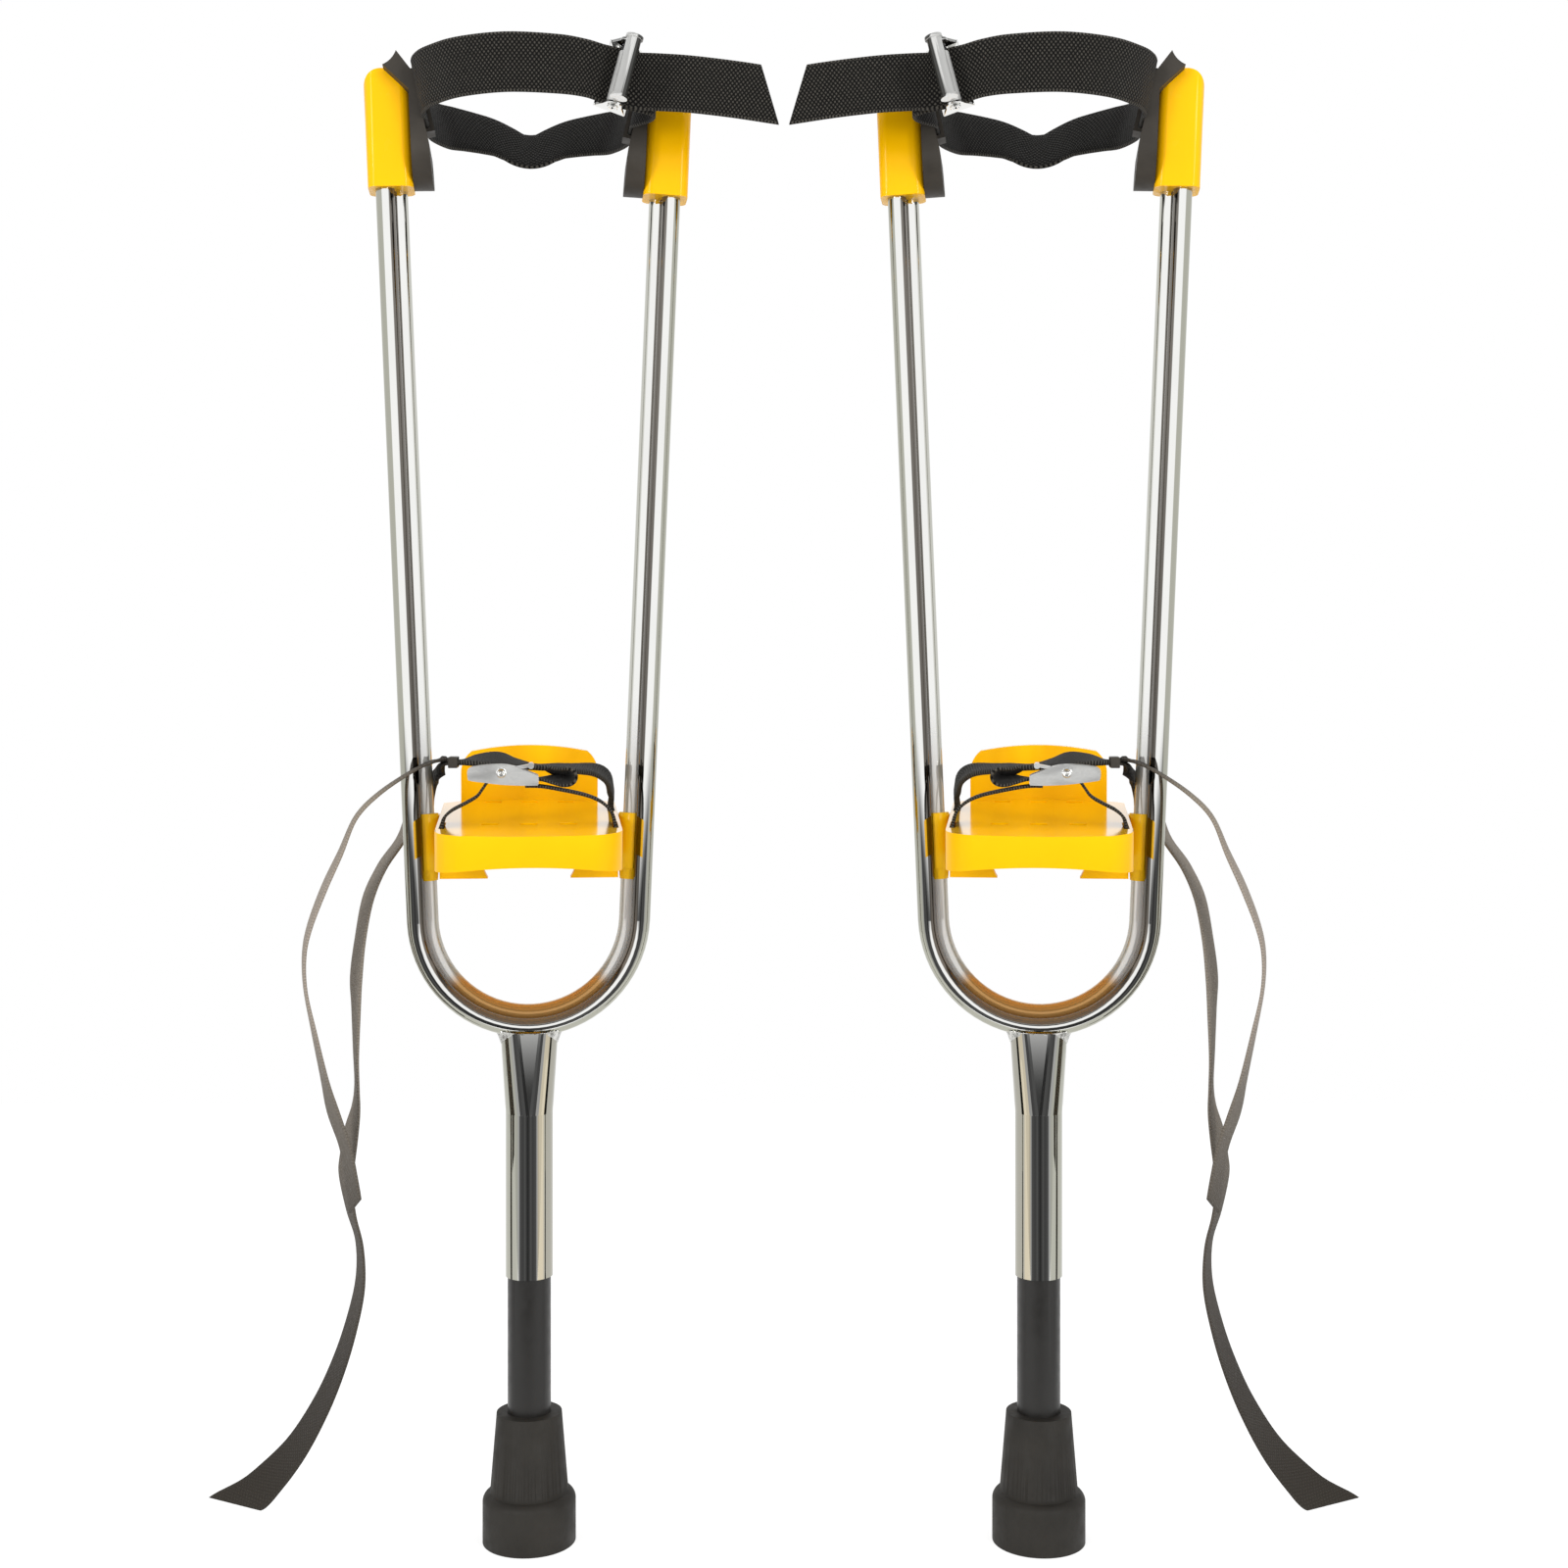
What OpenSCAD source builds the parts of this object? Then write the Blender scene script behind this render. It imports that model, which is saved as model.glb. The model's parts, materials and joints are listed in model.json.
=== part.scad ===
// Pair of strap-on peg stilts with sprung pegs.
// +Z is up, the toes point along -Y, and the floor is z = 0 midway between the two pegs.
// Each stilt is drawn in its own frame, with its peg axis on the Z axis, and then placed.

/* [Stance] */
// Distance between the two peg axes
stance = 275; // [230:1:400]
// Turn of each stilt towards the middle, in degrees
toe_in = 7; // [0:0.5:10]
// Shift of both pegs along Y, which centres the pair's box on the origin
stance_y = -1.2; // [-20:0.1:20]

/* [Frame tubes] */
// Diameter of the frame tube
tube_d = 10; // [9:0.1:11]
// Wall of the frame tube
tube_wall = 1.2; // [0.8:0.1:2]
// Radius of the outer bow, at the middle of its tube
bow_r = 60; // [58:0.5:70]
// Height of the centre of both bows
bow_z = 337; // [334:1:345]
// Outward lean of the legs of the bows, in degrees
lean = 2.4; // [2:0.1:3]
// How far the inner bow is nested inside the outer one
nest = 6.5; // [6:0.1:8]
// Gap between the two bows
bow_gap = 0.3; // [0.2:0.1:1]

/* [Leg sleeve] */
// Outer diameter of the sleeve
sleeve_d = 25.4; // [24:0.1:28]
// Wall of the sleeve
sleeve_wall = 1; // [0.8:0.1:1.6]
// Height of the sleeve's lower rim
sleeve_z = 143; // [138:1:150]
// Height at which the sleeve starts to flatten
flare_z = 231; // [228:1:235]
// Width of the flattened top
flare_w = 32; // [28:0.5:36]
// Depth of the flattened top
flare_depth = 20; // [18:0.1:22]

/* [Peg] */
// Radial running clearance between the peg and the sleeve
peg_gap = 0.1; // [0.05:0.01:0.2]
// Wall of the peg tube
peg_wall = 1.6; // [1.2:0.1:2.5]
// Length of the peg that stays inside the sleeve at rest
peg_guide = 37; // [30:1:40]
// Height of the upper face of the peg's plug
plug_z = 90; // [86:1:96]
// Thickness of the peg's plug
plug_h = 10; // [6:0.5:14]
// Thickness of the spring seat
seat_h = 4; // [3:0.5:6]
// Diameter of the stop bolt
bolt_d = 6; // [5:0.5:8]
// Diameter of the stop bolt's head
bolt_head_d = 13; // [11:0.5:16]
// Height of the stop bolt's head
bolt_head_h = 5; // [4:0.5:6]

/* [Spring] */
// Outer diameter of the spring
spring_d = 18; // [16:0.2:18.4]
// Wire of the spring
spring_wire = 2.8; // [2.2:0.1:3]
// Turns of the spring
spring_turns = 16; // [12:1:18]

/* [Rubber tip] */
// Diameter of the tip's base
tip_d = 50; // [46:0.5:56]
// Height of the tip's base
tip_base_h = 27; // [22:0.5:32]
// Rounding of the base's shoulder
tip_round = 5; // [2:0.5:7]
// Height of the whole tip
tip_h = 69.5; // [60:0.5:75]
// Diameter at the foot of the tip's neck
tip_neck_d = 42; // [38:0.5:45]
// Diameter of the tip's upper rim
tip_rim_d = 35; // [31:0.5:37]
// Rubber under the end of the peg
tip_floor = 16; // [10:0.5:20]

/* [End caps] */
// Height of the caps' lower face
cap_z = 725.5; // [715:0.5:735]
// Height of a cap
cap_h = 62.5; // [60:0.5:70]
// Width of a cap
cap_w = 24; // [22:0.2:27]
// Depth of a cap
cap_depth = 23; // [22:0.2:27]
// Rounding of the outer upper corner
cap_round = 9.5; // [4:0.5:10]
// Rounding of the upright edges
cap_edge = 5; // [2:0.5:6]
// Height of the slanted inner corner
cap_slant = 13.5; // [12:0.5:15]
// Depth to which the tubes reach into a cap
tube_in = 46; // [36:1:47]

/* [Leg pads] */
// Depth of a pad
pad_depth = 40; // [32:1:50]
// Height of a pad's lower end above the cap's lower face
pad_up = 0.5; // [0:0.5:5]
// Rounding of a pad's upper corners, seen from the side
pad_corner = 4; // [2:0.5:12]
// Thickness of a pad at its lower end
pad_low_t = 10.5; // [8.5:0.1:13]
// Thickness of a pad where it bends outwards
pad_bend_t = 3.5; // [3:0.1:5]
// Thickness of the part of a pad that covers the slant
pad_top_t = 10.5; // [6:0.5:12]
// Hollow in the upper end of a pad
pad_scoop = 1.2; // [0.6:0.1:2]
// Width of the loop that holds the knee strap to a pad
loop_w = 12; // [8:0.5:16]
// Thickness of that loop
loop_t = 2; // [1.5:0.1:3]
// Room round the knee strap in the loop
loop_room = 0.4; // [0.3:0.1:1]
// Height on the cap of the screw that holds the pad
pad_screw_w = 12; // [10:0.5:16]

/* [Footplate] */
// Height of the footplate's upper face at the peg axis
plate_z = 390.5; // [386:0.5:394]
// Slope of the footplate, heel up, in degrees
plate_pitch = 5; // [3:0.5:6]
// Gap between the footplate and the inner bow's legs
plate_gap = 1.6; // [1:0.1:3]
// Reach of the footplate in front of the peg axis
plate_front = 75; // [68:1:90]
// Reach of the footplate behind the peg axis
plate_back = 72; // [66:1:85]
// Thickness of the footplate
plate_t = 4; // [3:0.5:5]
// Depth of the skirt at its corners
skirt_h = 20.5; // [18:0.5:26]
// Rise of the skirt's lower edge at the middle
skirt_arch = 4.5; // [2:0.5:6]
// Wall of the skirt
skirt_t = 2; // [1.5:0.1:3]
// Depth of the cross rib
rib_h = 34; // [30:0.5:40]
// Thickness of the cross rib
rib_t = 7; // [5:0.5:9]
// Radius of the round opening in the cross rib
rib_arch_r = 26; // [20:0.5:30]
// Height of the heel cup above the footplate
heel_h = 31; // [25:0.5:45]
// Width of the heel cup
heel_w = 77; // [65:0.5:85]
// Wall of the heel cup
heel_t = 4; // [3:0.2:6]
// Radius of the heel cup, seen from above
heel_r = 66; // [55:1:80]
// Rounding of the heel cup's upper corners
heel_round = 14; // [6:0.5:16]
// Drop of the heel cup's upper edge at its corners
heel_drop = 3.5; // [2:0.5:8]
// Length of a drain slot in the footplate
drain_l = 9; // [6:0.5:12]
// Width of a drain slot
drain_w = 7; // [4:0.5:9]
// Spacing of the drain slots
drain_step = 20.5; // [16:0.5:26]
// Place of the front row of drain slots
drain_front_y = -33.5; // [-42:0.5:-28]
// Place of the rear row of drain slots
drain_back_y = 55; // [45:0.5:57]

/* [Plate clips] */
// Height of a clip's lower face
clip_z = 362; // [360:0.5:366]
// Height of a clip
clip_h = 30; // [28:0.5:34]
// Wall of a clip round its tube
clip_wall = 2.2; // [1.6:0.1:3]
// Gap between a clip and the other bow
clip_gap = 0.3; // [0.2:0.05:0.6]
// Length of the narrow nose under a clip
nose_h = 6; // [3:0.5:10]
// Distance of the clip's screws behind the peg axis
clip_screw_y = 15; // [14:0.5:17]
// Spacing of the clip's two screws
clip_screw_step = 10; // [8:0.5:12]
// Height of the clip's lower screw above its lower face
clip_screw_up = 12; // [10:0.5:14]

/* [Screws] */
// Shank diameter of the screws
screw_d = 4; // [3:0.1:4.5]
// Head diameter of the screws
screw_head_d = 7; // [6:0.1:8]
// Head height of the screws
screw_head_h = 2.4; // [1.8:0.1:3]
// Length of a clip screw's shank
clip_screw_l = 11; // [8:0.5:12]
// Length of a pad screw's shank
pad_screw_l = 11; // [9:0.5:12]

/* [Straps] */
// Width of the knee strap
knee_strap_w = 30; // [25:0.5:31]
// Thickness of the knee strap
knee_strap_t = 1.8; // [1.2:0.1:2.2]
// Width of the foot straps
foot_strap_w = 20; // [16:0.5:21]
// Thickness of the foot straps
foot_strap_t = 1.5; // [1:0.1:1.6]
// Slant of a cut strap end across its width
cut_slant = 12; // [0:0.5:16]
// Slant of the cut end of the knee strap
knee_cut_slant = 13; // [0:0.5:16]
// Slant of the long cut at the rear loose end
long_cut_slant = 21; // [0:0.5:22]

/* [Buckles] */
// Sheet of the buckle frames
sheet_t = 1.5; // [1:0.1:1.8]
// Room between a strap and its buckle
strap_room = 0.4; // [0.3:0.05:0.6]
// Room beside a lever
lever_room = 0.4; // [0.3:0.05:0.6]
// Diameter of the knee buckle's pin
knee_pin_d = 3; // [2.4:0.1:3.4]
// Length of the knee buckle's frame
knee_buckle_l = 17; // [15:0.5:22]
// Diameter of the rolled bar on the knee lever
knee_bar_d = 7.5; // [6:0.1:8]
// Distance of that bar from the pin
knee_bar_out = 11; // [10.5:0.1:13]
// Length of the toe buckle's frame
toe_buckle_l = 36.5; // [34:0.5:40]
// Height of the toe buckle's sides
toe_buckle_h = 10.9; // [10:0.1:12]
// Diameter of the toe buckle's pin
toe_pin_d = 2.6; // [2:0.1:2.8]
// Height of the keeper loop's bar sheet
keeper_t = 0.9; // [0.7:0.1:1.6]
// Length of the keeper loop along the strap
keeper_l = 5; // [4:0.5:8]
// Running clearance of the levers on their pins
pin_gap = 0.05; // [0.03:0.01:0.1]

/* [Hidden] */
$fn = 48;
eps = 0.01;
cut = 1;

// Frame tubes: the outer bow is in front, the inner one behind it
inner_bow_r = bow_r - nest;
plate_w = 2 * (leg_x(inner_bow_r, clip_z) - tube_d / 2 - plate_gap);
bow_step = sqrt(pow(tube_d + bow_gap, 2) - nest * nest);
tube_bore = tube_d - 2 * tube_wall;
bend_thinning = 0.04;
leg_lap = 0.6;
outer_bow_y = -bow_step / 2;
inner_bow_y = bow_step / 2;

// Peg and what is inside it
bore_d = sleeve_d - 2 * sleeve_wall;
peg_d = bore_d - 2 * peg_gap;
peg_bore = peg_d - 2 * peg_wall;
peg_top_z = sleeve_z + peg_guide;
seat_z = flare_z - seat_h;
end_gap = 0.2;
bolt_gap = 0.25;
spring_z = plug_z + end_gap;
spring_h = seat_z - plug_z - 2 * end_gap;

// Footplate in its sloping frame
slot_x = plate_w / 2 - 3.2;
toe_slot_w = 3;
instep_slot_w = 2 * foot_strap_t + 1;
toe_y = -34;
instep_y = 29.5;
slot_l = foot_strap_w + 3;
plate_corner = 12;
front_corner = 20;
corner_lap = 0.02;
front_bulge_r = 150;
rib_y = inner_bow_y - rib_t / 2;
rib_arch_z = -20.5;
heel_y = plate_back + heel_t - heel_r;

// Pads, in the frame of a cap: x outwards, z along the tubes
slant_top = cap_w / 2 - cap_round - 0.7;
pad_bend_w = 58;
pad_low_w = 21;
pad_in = -cap_w / 2;
pad_low_x = pad_in - pad_low_t + 1;
pad_bend_x = pad_in - pad_bend_t + 1;
pad_angle = atan((pad_bend_x - pad_low_x) / (pad_bend_w - pad_low_w));
strap_mid_w = 47;
strap_mid_x = pad_bend_x - (pad_bend_w - strap_mid_w) * tan(pad_angle);
loop_gap = knee_strap_t + 2 * loop_room;
loop_root = 4;
screw_sink = 4;

// Buckles: the knee one turns with its strap
pad_mid_x = (leg_x(bow_r, cap_z) + leg_x(inner_bow_r, cap_z)) / 2 + strap_mid_w * tan(lean);
knee_side_x = pad_mid_x + strap_mid_x - loop_room - knee_strap_t / 2;
knee_side_drawn = 57.2;
knee_p = [45.7 + knee_side_x - knee_side_drawn, -56.9, 773.6];
knee_roll = 15;
knee_yaw = 12;
knee_base_y = knee_strap_t / 2 + strap_room;
knee_in = knee_strap_w / 2 + lever_room + 0.9;
knee_ear_r = 4.8;
knee_pin_y = -6;
knee_hub_d = 7.4;
knee_cam = 1;
spring_room = 5;
lever_wire = 0.9;
rivet_head_t = 1.2;
rivet_hollow = 1.6;
toe_p = [-13.4, toe_y, 414];
toe_in_w = foot_strap_w / 2 + lever_room + 0.2;
toe_base_z = -foot_strap_t / 2 - 2.3 - strap_room;
toe_strap_z = -2.3;
toe_pin_x = -0.9;
toe_pin_z = 1.4;
toe_hub_d = 5;
toe_tab_x = 15.3;
toe_tab_z = 2.6;
toe_tab_d = 3.2;
toe_base_x = -1;
// Side of the toe buckle as shares of its half length and half height
toe_side = [[-1, 0.16], [-0.99, 0.5], [-0.93, 0.72], [-0.75, 0.84], [-0.53, 0.93], [-0.14, 1],
    [0.19, 0.91], [0.52, 0.58], [0.87, 0.12], [0.975, -0.04], [1, -0.2], [1, -0.8],
    [0.985, -0.93], [0.93, -0.99], [0.52, -0.99], [-0.03, -0.9], [-0.58, -0.68], [-0.93, -0.5],
    [-0.985, -0.3]];
keeper_p = [-40, -10, 420];

// Routes of the straps: x, y, z and the turn of the strap's width.
// On the foot straps a turn of 90 puts the width along Y and 0 faces it to the front.
// On the knee strap the turn leans its upper edge outwards.
// On the rear loose end the direction of the width is given instead of a turn, and then
// the share of its width that is left where it is bunched.
knee_drawn = [
    [49.7, -52.3, 773.4, 0], [57.5, -50.4, 772.4, 0], [63.2, -47, 772, 0], [65, -42.5, 771.8, 1],
    [63.8, -36, 771.8, 4], [59.6, -28, 772.2, 8], [57.1, -20, 773, 12], [57.3, -8, 773.5, 13],
    [57.3, 8, 773.5, 13], [56.2, 20, 773, 14], [48.4, 40, 773.2, 22], [38.8, 48.6, 773.8, 25],
    [29, 54.5, 773.6, 28], [20, 58, 772.4, 31], [12, 59.6, 769.4, 34], [6, 60, 766.6, 37],
    [0, 60.1, 765.6, 38], [-6, 60, 766.6, 37], [-12, 59.6, 769.4, 34], [-20, 58, 772.4, 31],
    [-29, 54.5, 773.6, 28], [-38.8, 48.6, 773.8, 25], [-48.4, 40, 773.2, 22],
    [-56.2, 20, 773, 14], [-57.3, 8, 773.5, 13], [-57.3, -8, 773.5, 13], [-57.3, -19, 773.9, 12],
    [-58, -25, 774.3, 12], [-55.8, -33, 775, 11], [-50.5, -41.5, 775.5, 10], [-36, -55, 776.2, 8],
    [-12, -65, 776.6, 6], [14, -66, 776.3, 3], [28, -62.2, 776, 0], [37.5, -58.7, 774.7, 0],
    [45.7, -56.9, 773.6, 0], [55, -54.9, 772.4, 0], [66, -53, 772.9, 0], [80, -51.2, 773.2, 0],
    [94, -50.2, 772.6, 0], [109, -49.7, 771.4, 0], [125, -49.6, 769.6, 0]];
knee_route = [for (p = knee_drawn)
    let (side = max(-1, min(1, p[0] / 48)))
    [p[0] + side * (knee_side_x - knee_side_drawn), p[1], p[2], p[3]]];
toe_route = [
    [-2, toe_y, 408.1, 90], [6, toe_y, 407.9, 90], [17, toe_y, 406, 90], [30, toe_y, 403, 90],
    [slot_x - 6.8, toe_y, 399.3, 90], [slot_x - 1.8, toe_y, 394, 90], [slot_x, toe_y, 387.5, 90],
    [slot_x, toe_y, 381, 90], [slot_x - 3.8, toe_y, 376.5, 90], [20, toe_y, 376, 90],
    [-20, toe_y, 376, 90], [3.8 - slot_x, toe_y, 376.5, 90], [-slot_x, toe_y, 381, 90],
    [-slot_x, toe_y, 387.5, 90], [1.2 - slot_x, toe_y, 392, 90], [5.2 - slot_x, toe_y, 395.7, 90],
    [-33, toe_y, 399.2, 90], [-27, toe_y, 402.8, 90], [-23.8, toe_y, 407, 90],
    [-21.2, toe_y, 410.4, 90], [-17, toe_y, 411.7, 90], [-6, toe_y, 411.7, 90],
    [5, toe_y, 411.7, 90], [12, toe_y, 411.6, 98], [19, toe_y, 412, 106]];
instep_route = [
    [slot_x, instep_y, 384, 90], [slot_x, instep_y, 394, 90], [slot_x + 0.4, 28, 402, 86],
    [slot_x - 2.8, 23, 410, 76], [33, 14, 414.5, 82], [20, 5, 416, 84], [6, -3, 417, 90],
    [-6, -7, 419, 82], [-16, -9, 421, 70], [-27, -10, 421, 78], [-35, -10, 420, 90],
    [-40, -10, 420, 90]];
front_tail_route = [
    [-40, -10, 420.8, 90], [-44.5, -10, 420.8, 90], [-49, -12, 420.5, 90], [-54.5, -18, 418.6, 90],
    [-62, -22, 415, 88], [-78, -23, 404, 86], [-90, -22, 391.5, 82], [-98, -21, 373, 79],
    [-106.5, -20, 354.5, 76], [-114, -19, 334.5, 74], [-117, -18, 319.5, 72],
    [-116.5, -17, 301, 70], [-112, -17, 278.5, 70], [-106.5, -17, 253.5, 68],
    [-102, -17, 236, 66], [-96, -17, 218, 62], [-93, -17, 202, 58], [-91, -16, 186.5, 55]];
rear_tail_route = [
    [-40, -10, 419.2, 0, 1, 0, 1], [-43.2, -10, 419.2, 0, 1, 0, 1],
    [-45.4, -9.2, 418.3, -0.4, 0.8, 0, 0.7], [-47.4, -5.5, 414.6, 0.3, 0.6, 0.75, 0.65],
    [-48.6, 1.5, 413.5, 0.1, 0.2, 1, 0.55],
    [-50.4, 9, 411, 0, 0.35, 0.95, 0.55], [-53.5, 17, 406, -0.25, 0.45, 0.85, 0.7],
    [-58, 24.5, 398.5, -0.6, 0.4, 0.7, 0.85], [-63.5, 26, 388, -0.75, 0.35, 0.55, 1],
    [-70, 25, 376.5, -0.7, 0.4, 0.55, 1], [-79.5, 18.5, 362.5, -0.55, 0.75, 0.35, 1],
    [-86.5, 13, 346, -0.4, 0.9, 0.15, 1], [-90.5, 10, 324, -0.3, 0.95, 0.05, 1],
    [-92.5, 8, 304, -0.3, 0.95, 0, 1], [-92.5, 7, 287, -0.3, 0.95, 0, 1],
    [-92.5, 7, 262.5, -0.35, 0.95, 0, 1], [-92, 7, 245.5, -0.35, 0.95, 0, 1],
    [-92.5, 7, 233.5, -0.4, 0.9, 0.05, 1], [-95, 7, 220.5, -0.45, 0.9, 0.1, 1],
    [-97, 7, 207, -0.45, 0.9, 0.05, 1], [-98, 7, 196.5, -0.4, 0.9, 0, 1],
    [-95, 6, 178, -0.35, 0.95, -0.05, 1], [-90.5, 5, 161, -0.35, 0.95, -0.05, 1],
    [-90, 4, 140.5, -0.4, 0.9, 0.05, 1], [-94.5, 3, 118.5, -0.45, 0.9, 0.1, 1],
    [-101.5, 2, 96.5, -0.5, 0.85, 0.2, 1], [-111, 1, 75, -0.55, 0.75, 0.3, 1],
    [-124.5, 0, 53, -0.65, 0.6, 0.45, 1], [-141.5, 0, 35, -0.55, 0.4, 0.7, 1],
    [-155, 0, 26.5, -0.5, 0.25, 0.8, 1]];

PIECES = [
    "outer_frame_tube", "inner_frame_tube", "leg_sleeve", "spring_seat", "stop_bolt",
    "peg_spring", "peg_tube", "peg_plug", "rubber_tip", "outside_cap", "inside_cap",
    "outside_pad", "inside_pad", "pad_screws", "footplate", "plate_clips", "clip_screws",
    "knee_strap", "knee_buckle_frame", "knee_buckle_lever", "knee_buckle_pin", "toe_strap",
    "toe_buckle_frame", "toe_buckle_lever", "toe_buckle_pin", "buckle_springs", "instep_strap",
    "strap_keeper", "front_strap_tail", "rear_strap_tail"];
SIDES = ["left", "right"];

// Left is at -X, and the right stilt is its mirror image
module place(side) {
    mirror([side == "right" ? 1 : 0, 0, 0])
        translate([-stance / 2, stance_y, 0])
            rotate([0, 0, toe_in])
                children();
}

// Distance of a leg of a bow from the peg axis at a height
function leg_x(r, z) = r / cos(lean) + (z - bow_z) * tan(lean);

// Length of a leg of a bow; nest_x is its place in the cap
function leg_l(r, nest_x) = (cap_z - bow_z + (r - nest_x) * sin(lean)) / cos(lean) + tube_in;

// The shape of a bow: two leaning legs on a round bottom, which bending draws a little thinner
module bow(r, y, d, leg) {
    translate([0, y, bow_z]) {
        rotate([90, 0, 0])
            rotate([0, 0, 180 + lean])
                rotate_extrude(angle = 180 - 2 * lean)
                    translate([r, 0])
                        circle(d = d - bend_thinning);
        for (s = [-1, 1])
            translate([s * r * cos(lean), 0, -r * sin(lean)])
                rotate([0, s * lean, 0])
                    translate([0, 0, -leg_lap])
                        cylinder(d = d, h = leg + leg_lap);
    }
}

module outer_bow(d) {
    bow(bow_r, outer_bow_y, d, leg_l(bow_r, nest / 2));
}

module inner_bow(d) {
    bow(inner_bow_r, inner_bow_y, d, leg_l(inner_bow_r, -nest / 2));
}

module outer_frame_tube() {
    color("silver")
        difference() {
            outer_bow(tube_d);
            bow(bow_r, outer_bow_y, tube_bore, leg_l(bow_r, nest / 2) + cut);
        }
}

module inner_frame_tube() {
    color("silver")
        difference() {
            inner_bow(tube_d);
            bow(inner_bow_r, inner_bow_y, tube_bore, leg_l(inner_bow_r, -nest / 2) + cut);
            for (s = [-1, 1])
                cap_frame(s)
                    pad_screw_hole();
        }
}

// A round tube that flattens towards its top
module flattening(d, w, depth, h) {
    hull() {
        cylinder(d = d, h = eps, $fn = 48);
        for (s = [-1, 1])
            translate([s * (w - depth) / 2, 0, h - eps])
                cylinder(d = depth, h = eps, $fn = 48);
    }
}

module leg_sleeve() {
    front_top = bow_z - bow_r - tube_d / 4;
    back_top = bow_z - inner_bow_r;
    inner_top = bow_z - bow_r - tube_d / 2 - 2;
    color("silver")
        difference() {
            union() {
                translate([0, 0, sleeve_z])
                    cylinder(d = sleeve_d, h = flare_z - sleeve_z);
                translate([0, 0, flare_z])
                    flattening(sleeve_d, flare_w, flare_depth, back_top - flare_z);
            }
            translate([0, 0, sleeve_z - cut])
                cylinder(d = bore_d, h = flare_z - sleeve_z + cut);
            translate([0, 0, flare_z - eps])
                flattening(bore_d, flare_w - 2 * sleeve_wall, flare_depth - 2 * sleeve_wall,
                    inner_top - flare_z);
            translate([-flare_w, -flare_w, front_top])
                cube([2 * flare_w, flare_w, flare_w]);
            outer_bow(tube_d);
            inner_bow(tube_d);
        }
}

module spring_seat() {
    color("dimgray")
        difference() {
            translate([0, 0, seat_z])
                cylinder(d = bore_d, h = seat_h);
            translate([0, 0, seat_z - cut])
                cylinder(d = bolt_d, h = seat_h + 2 * cut);
        }
}

module stop_bolt() {
    head_z = plug_z - plug_h - end_gap - bolt_head_h;
    color("gray") {
        translate([0, 0, head_z])
            cylinder(d = bolt_head_d, h = bolt_head_h);
        translate([0, 0, head_z])
            cylinder(d = bolt_d, h = flare_z - head_z);
    }
}

// Triangles of a tube of rings with the given number of sides, closed at both ends
function tube_faces(rings, sides) = concat(
    [[for (j = [sides - 1 : -1 : 0]) j]],
    [for (i = [0 : rings - 2]) for (j = [0 : sides - 1])
        let (a = i * sides + j, b = i * sides + (j + 1) % sides) [a, b, b + sides]],
    [for (i = [0 : rings - 2]) for (j = [0 : sides - 1])
        let (a = i * sides + j, b = i * sides + (j + 1) % sides) [a, b + sides, a + sides]],
    [[for (j = [0 : sides - 1]) (rings - 1) * sides + j]]);

// A helical spring on the Z axis, from z = 0 to z = h
module coil(d, wire, turns, h) {
    rings_per_turn = 8;
    sides = 6;
    rings = turns * rings_per_turn + 1;
    mid_r = (d - wire) / 2;
    points = [for (i = [0 : rings - 1]) for (j = [0 : sides - 1])
        let (turn = 360 * i / rings_per_turn, side = -360 * j / sides,
            r = mid_r + wire / 2 * cos(side),
            z = wire / 2 + (h - wire) * i / (rings - 1) + wire / 2 * sin(side))
        [r * cos(turn), r * sin(turn), z]];
    polyhedron(points, tube_faces(rings, sides), convexity = 10);
}

// Least gap between two turns of a coil
function coil_gap(wire, turns, h) = (h - wire) / turns - wire;
echo(spring_gap = coil_gap(spring_wire, spring_turns, spring_h));

module peg_spring() {
    color("gray")
        translate([0, 0, spring_z])
            coil(spring_d, spring_wire, spring_turns, spring_h);
}

module peg_tube() {
    color("#26241f")
        translate([0, 0, tip_floor])
            difference() {
                cylinder(d = peg_d, h = peg_top_z - tip_floor);
                translate([0, 0, -cut])
                    cylinder(d = peg_bore, h = peg_top_z - tip_floor + 2 * cut);
            }
}

module peg_plug() {
    color("dimgray")
        translate([0, 0, plug_z - plug_h])
            difference() {
                cylinder(d = peg_bore, h = plug_h);
                translate([0, 0, -cut])
                    cylinder(d = bolt_d + 2 * bolt_gap, h = plug_h + 2 * cut);
            }
}

module rubber_tip() {
    r = tip_d / 2;
    color("#2e2c29")
        difference() {
            rotate_extrude($fn = 96) {
                square([r - tip_round, tip_base_h]);
                square([r, tip_base_h - tip_round]);
                translate([r - tip_round, tip_base_h - tip_round])
                    intersection() {
                        circle(tip_round);
                        square(tip_round);
                    }
                polygon([[0, 0], [tip_neck_d / 2, 0], [tip_neck_d / 2, tip_base_h],
                    [tip_rim_d / 2, tip_h], [0, tip_h]]);
            }
            translate([0, 0, tip_floor])
                cylinder(d = peg_d, h = tip_h);
        }
}

// The frame of a cap: x outwards, y back, z along the tubes from the cap's lower face
module cap_frame(s) {
    mid_x = (leg_x(bow_r, cap_z) + leg_x(inner_bow_r, cap_z)) / 2;
    mirror([s < 0 ? 1 : 0, 0, 0])
        translate([mid_x, 0, cap_z])
            rotate([0, lean, 0])
                children();
}

module rounded_plan(w, depth, r) {
    square([w - 2 * r, depth], center = true);
    square([w, depth - 2 * r], center = true);
    for (x = [-1, 1])
        for (y = [-1, 1])
            translate([x * (w / 2 - r), y * (depth / 2 - r)])
                circle(r);
}

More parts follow.
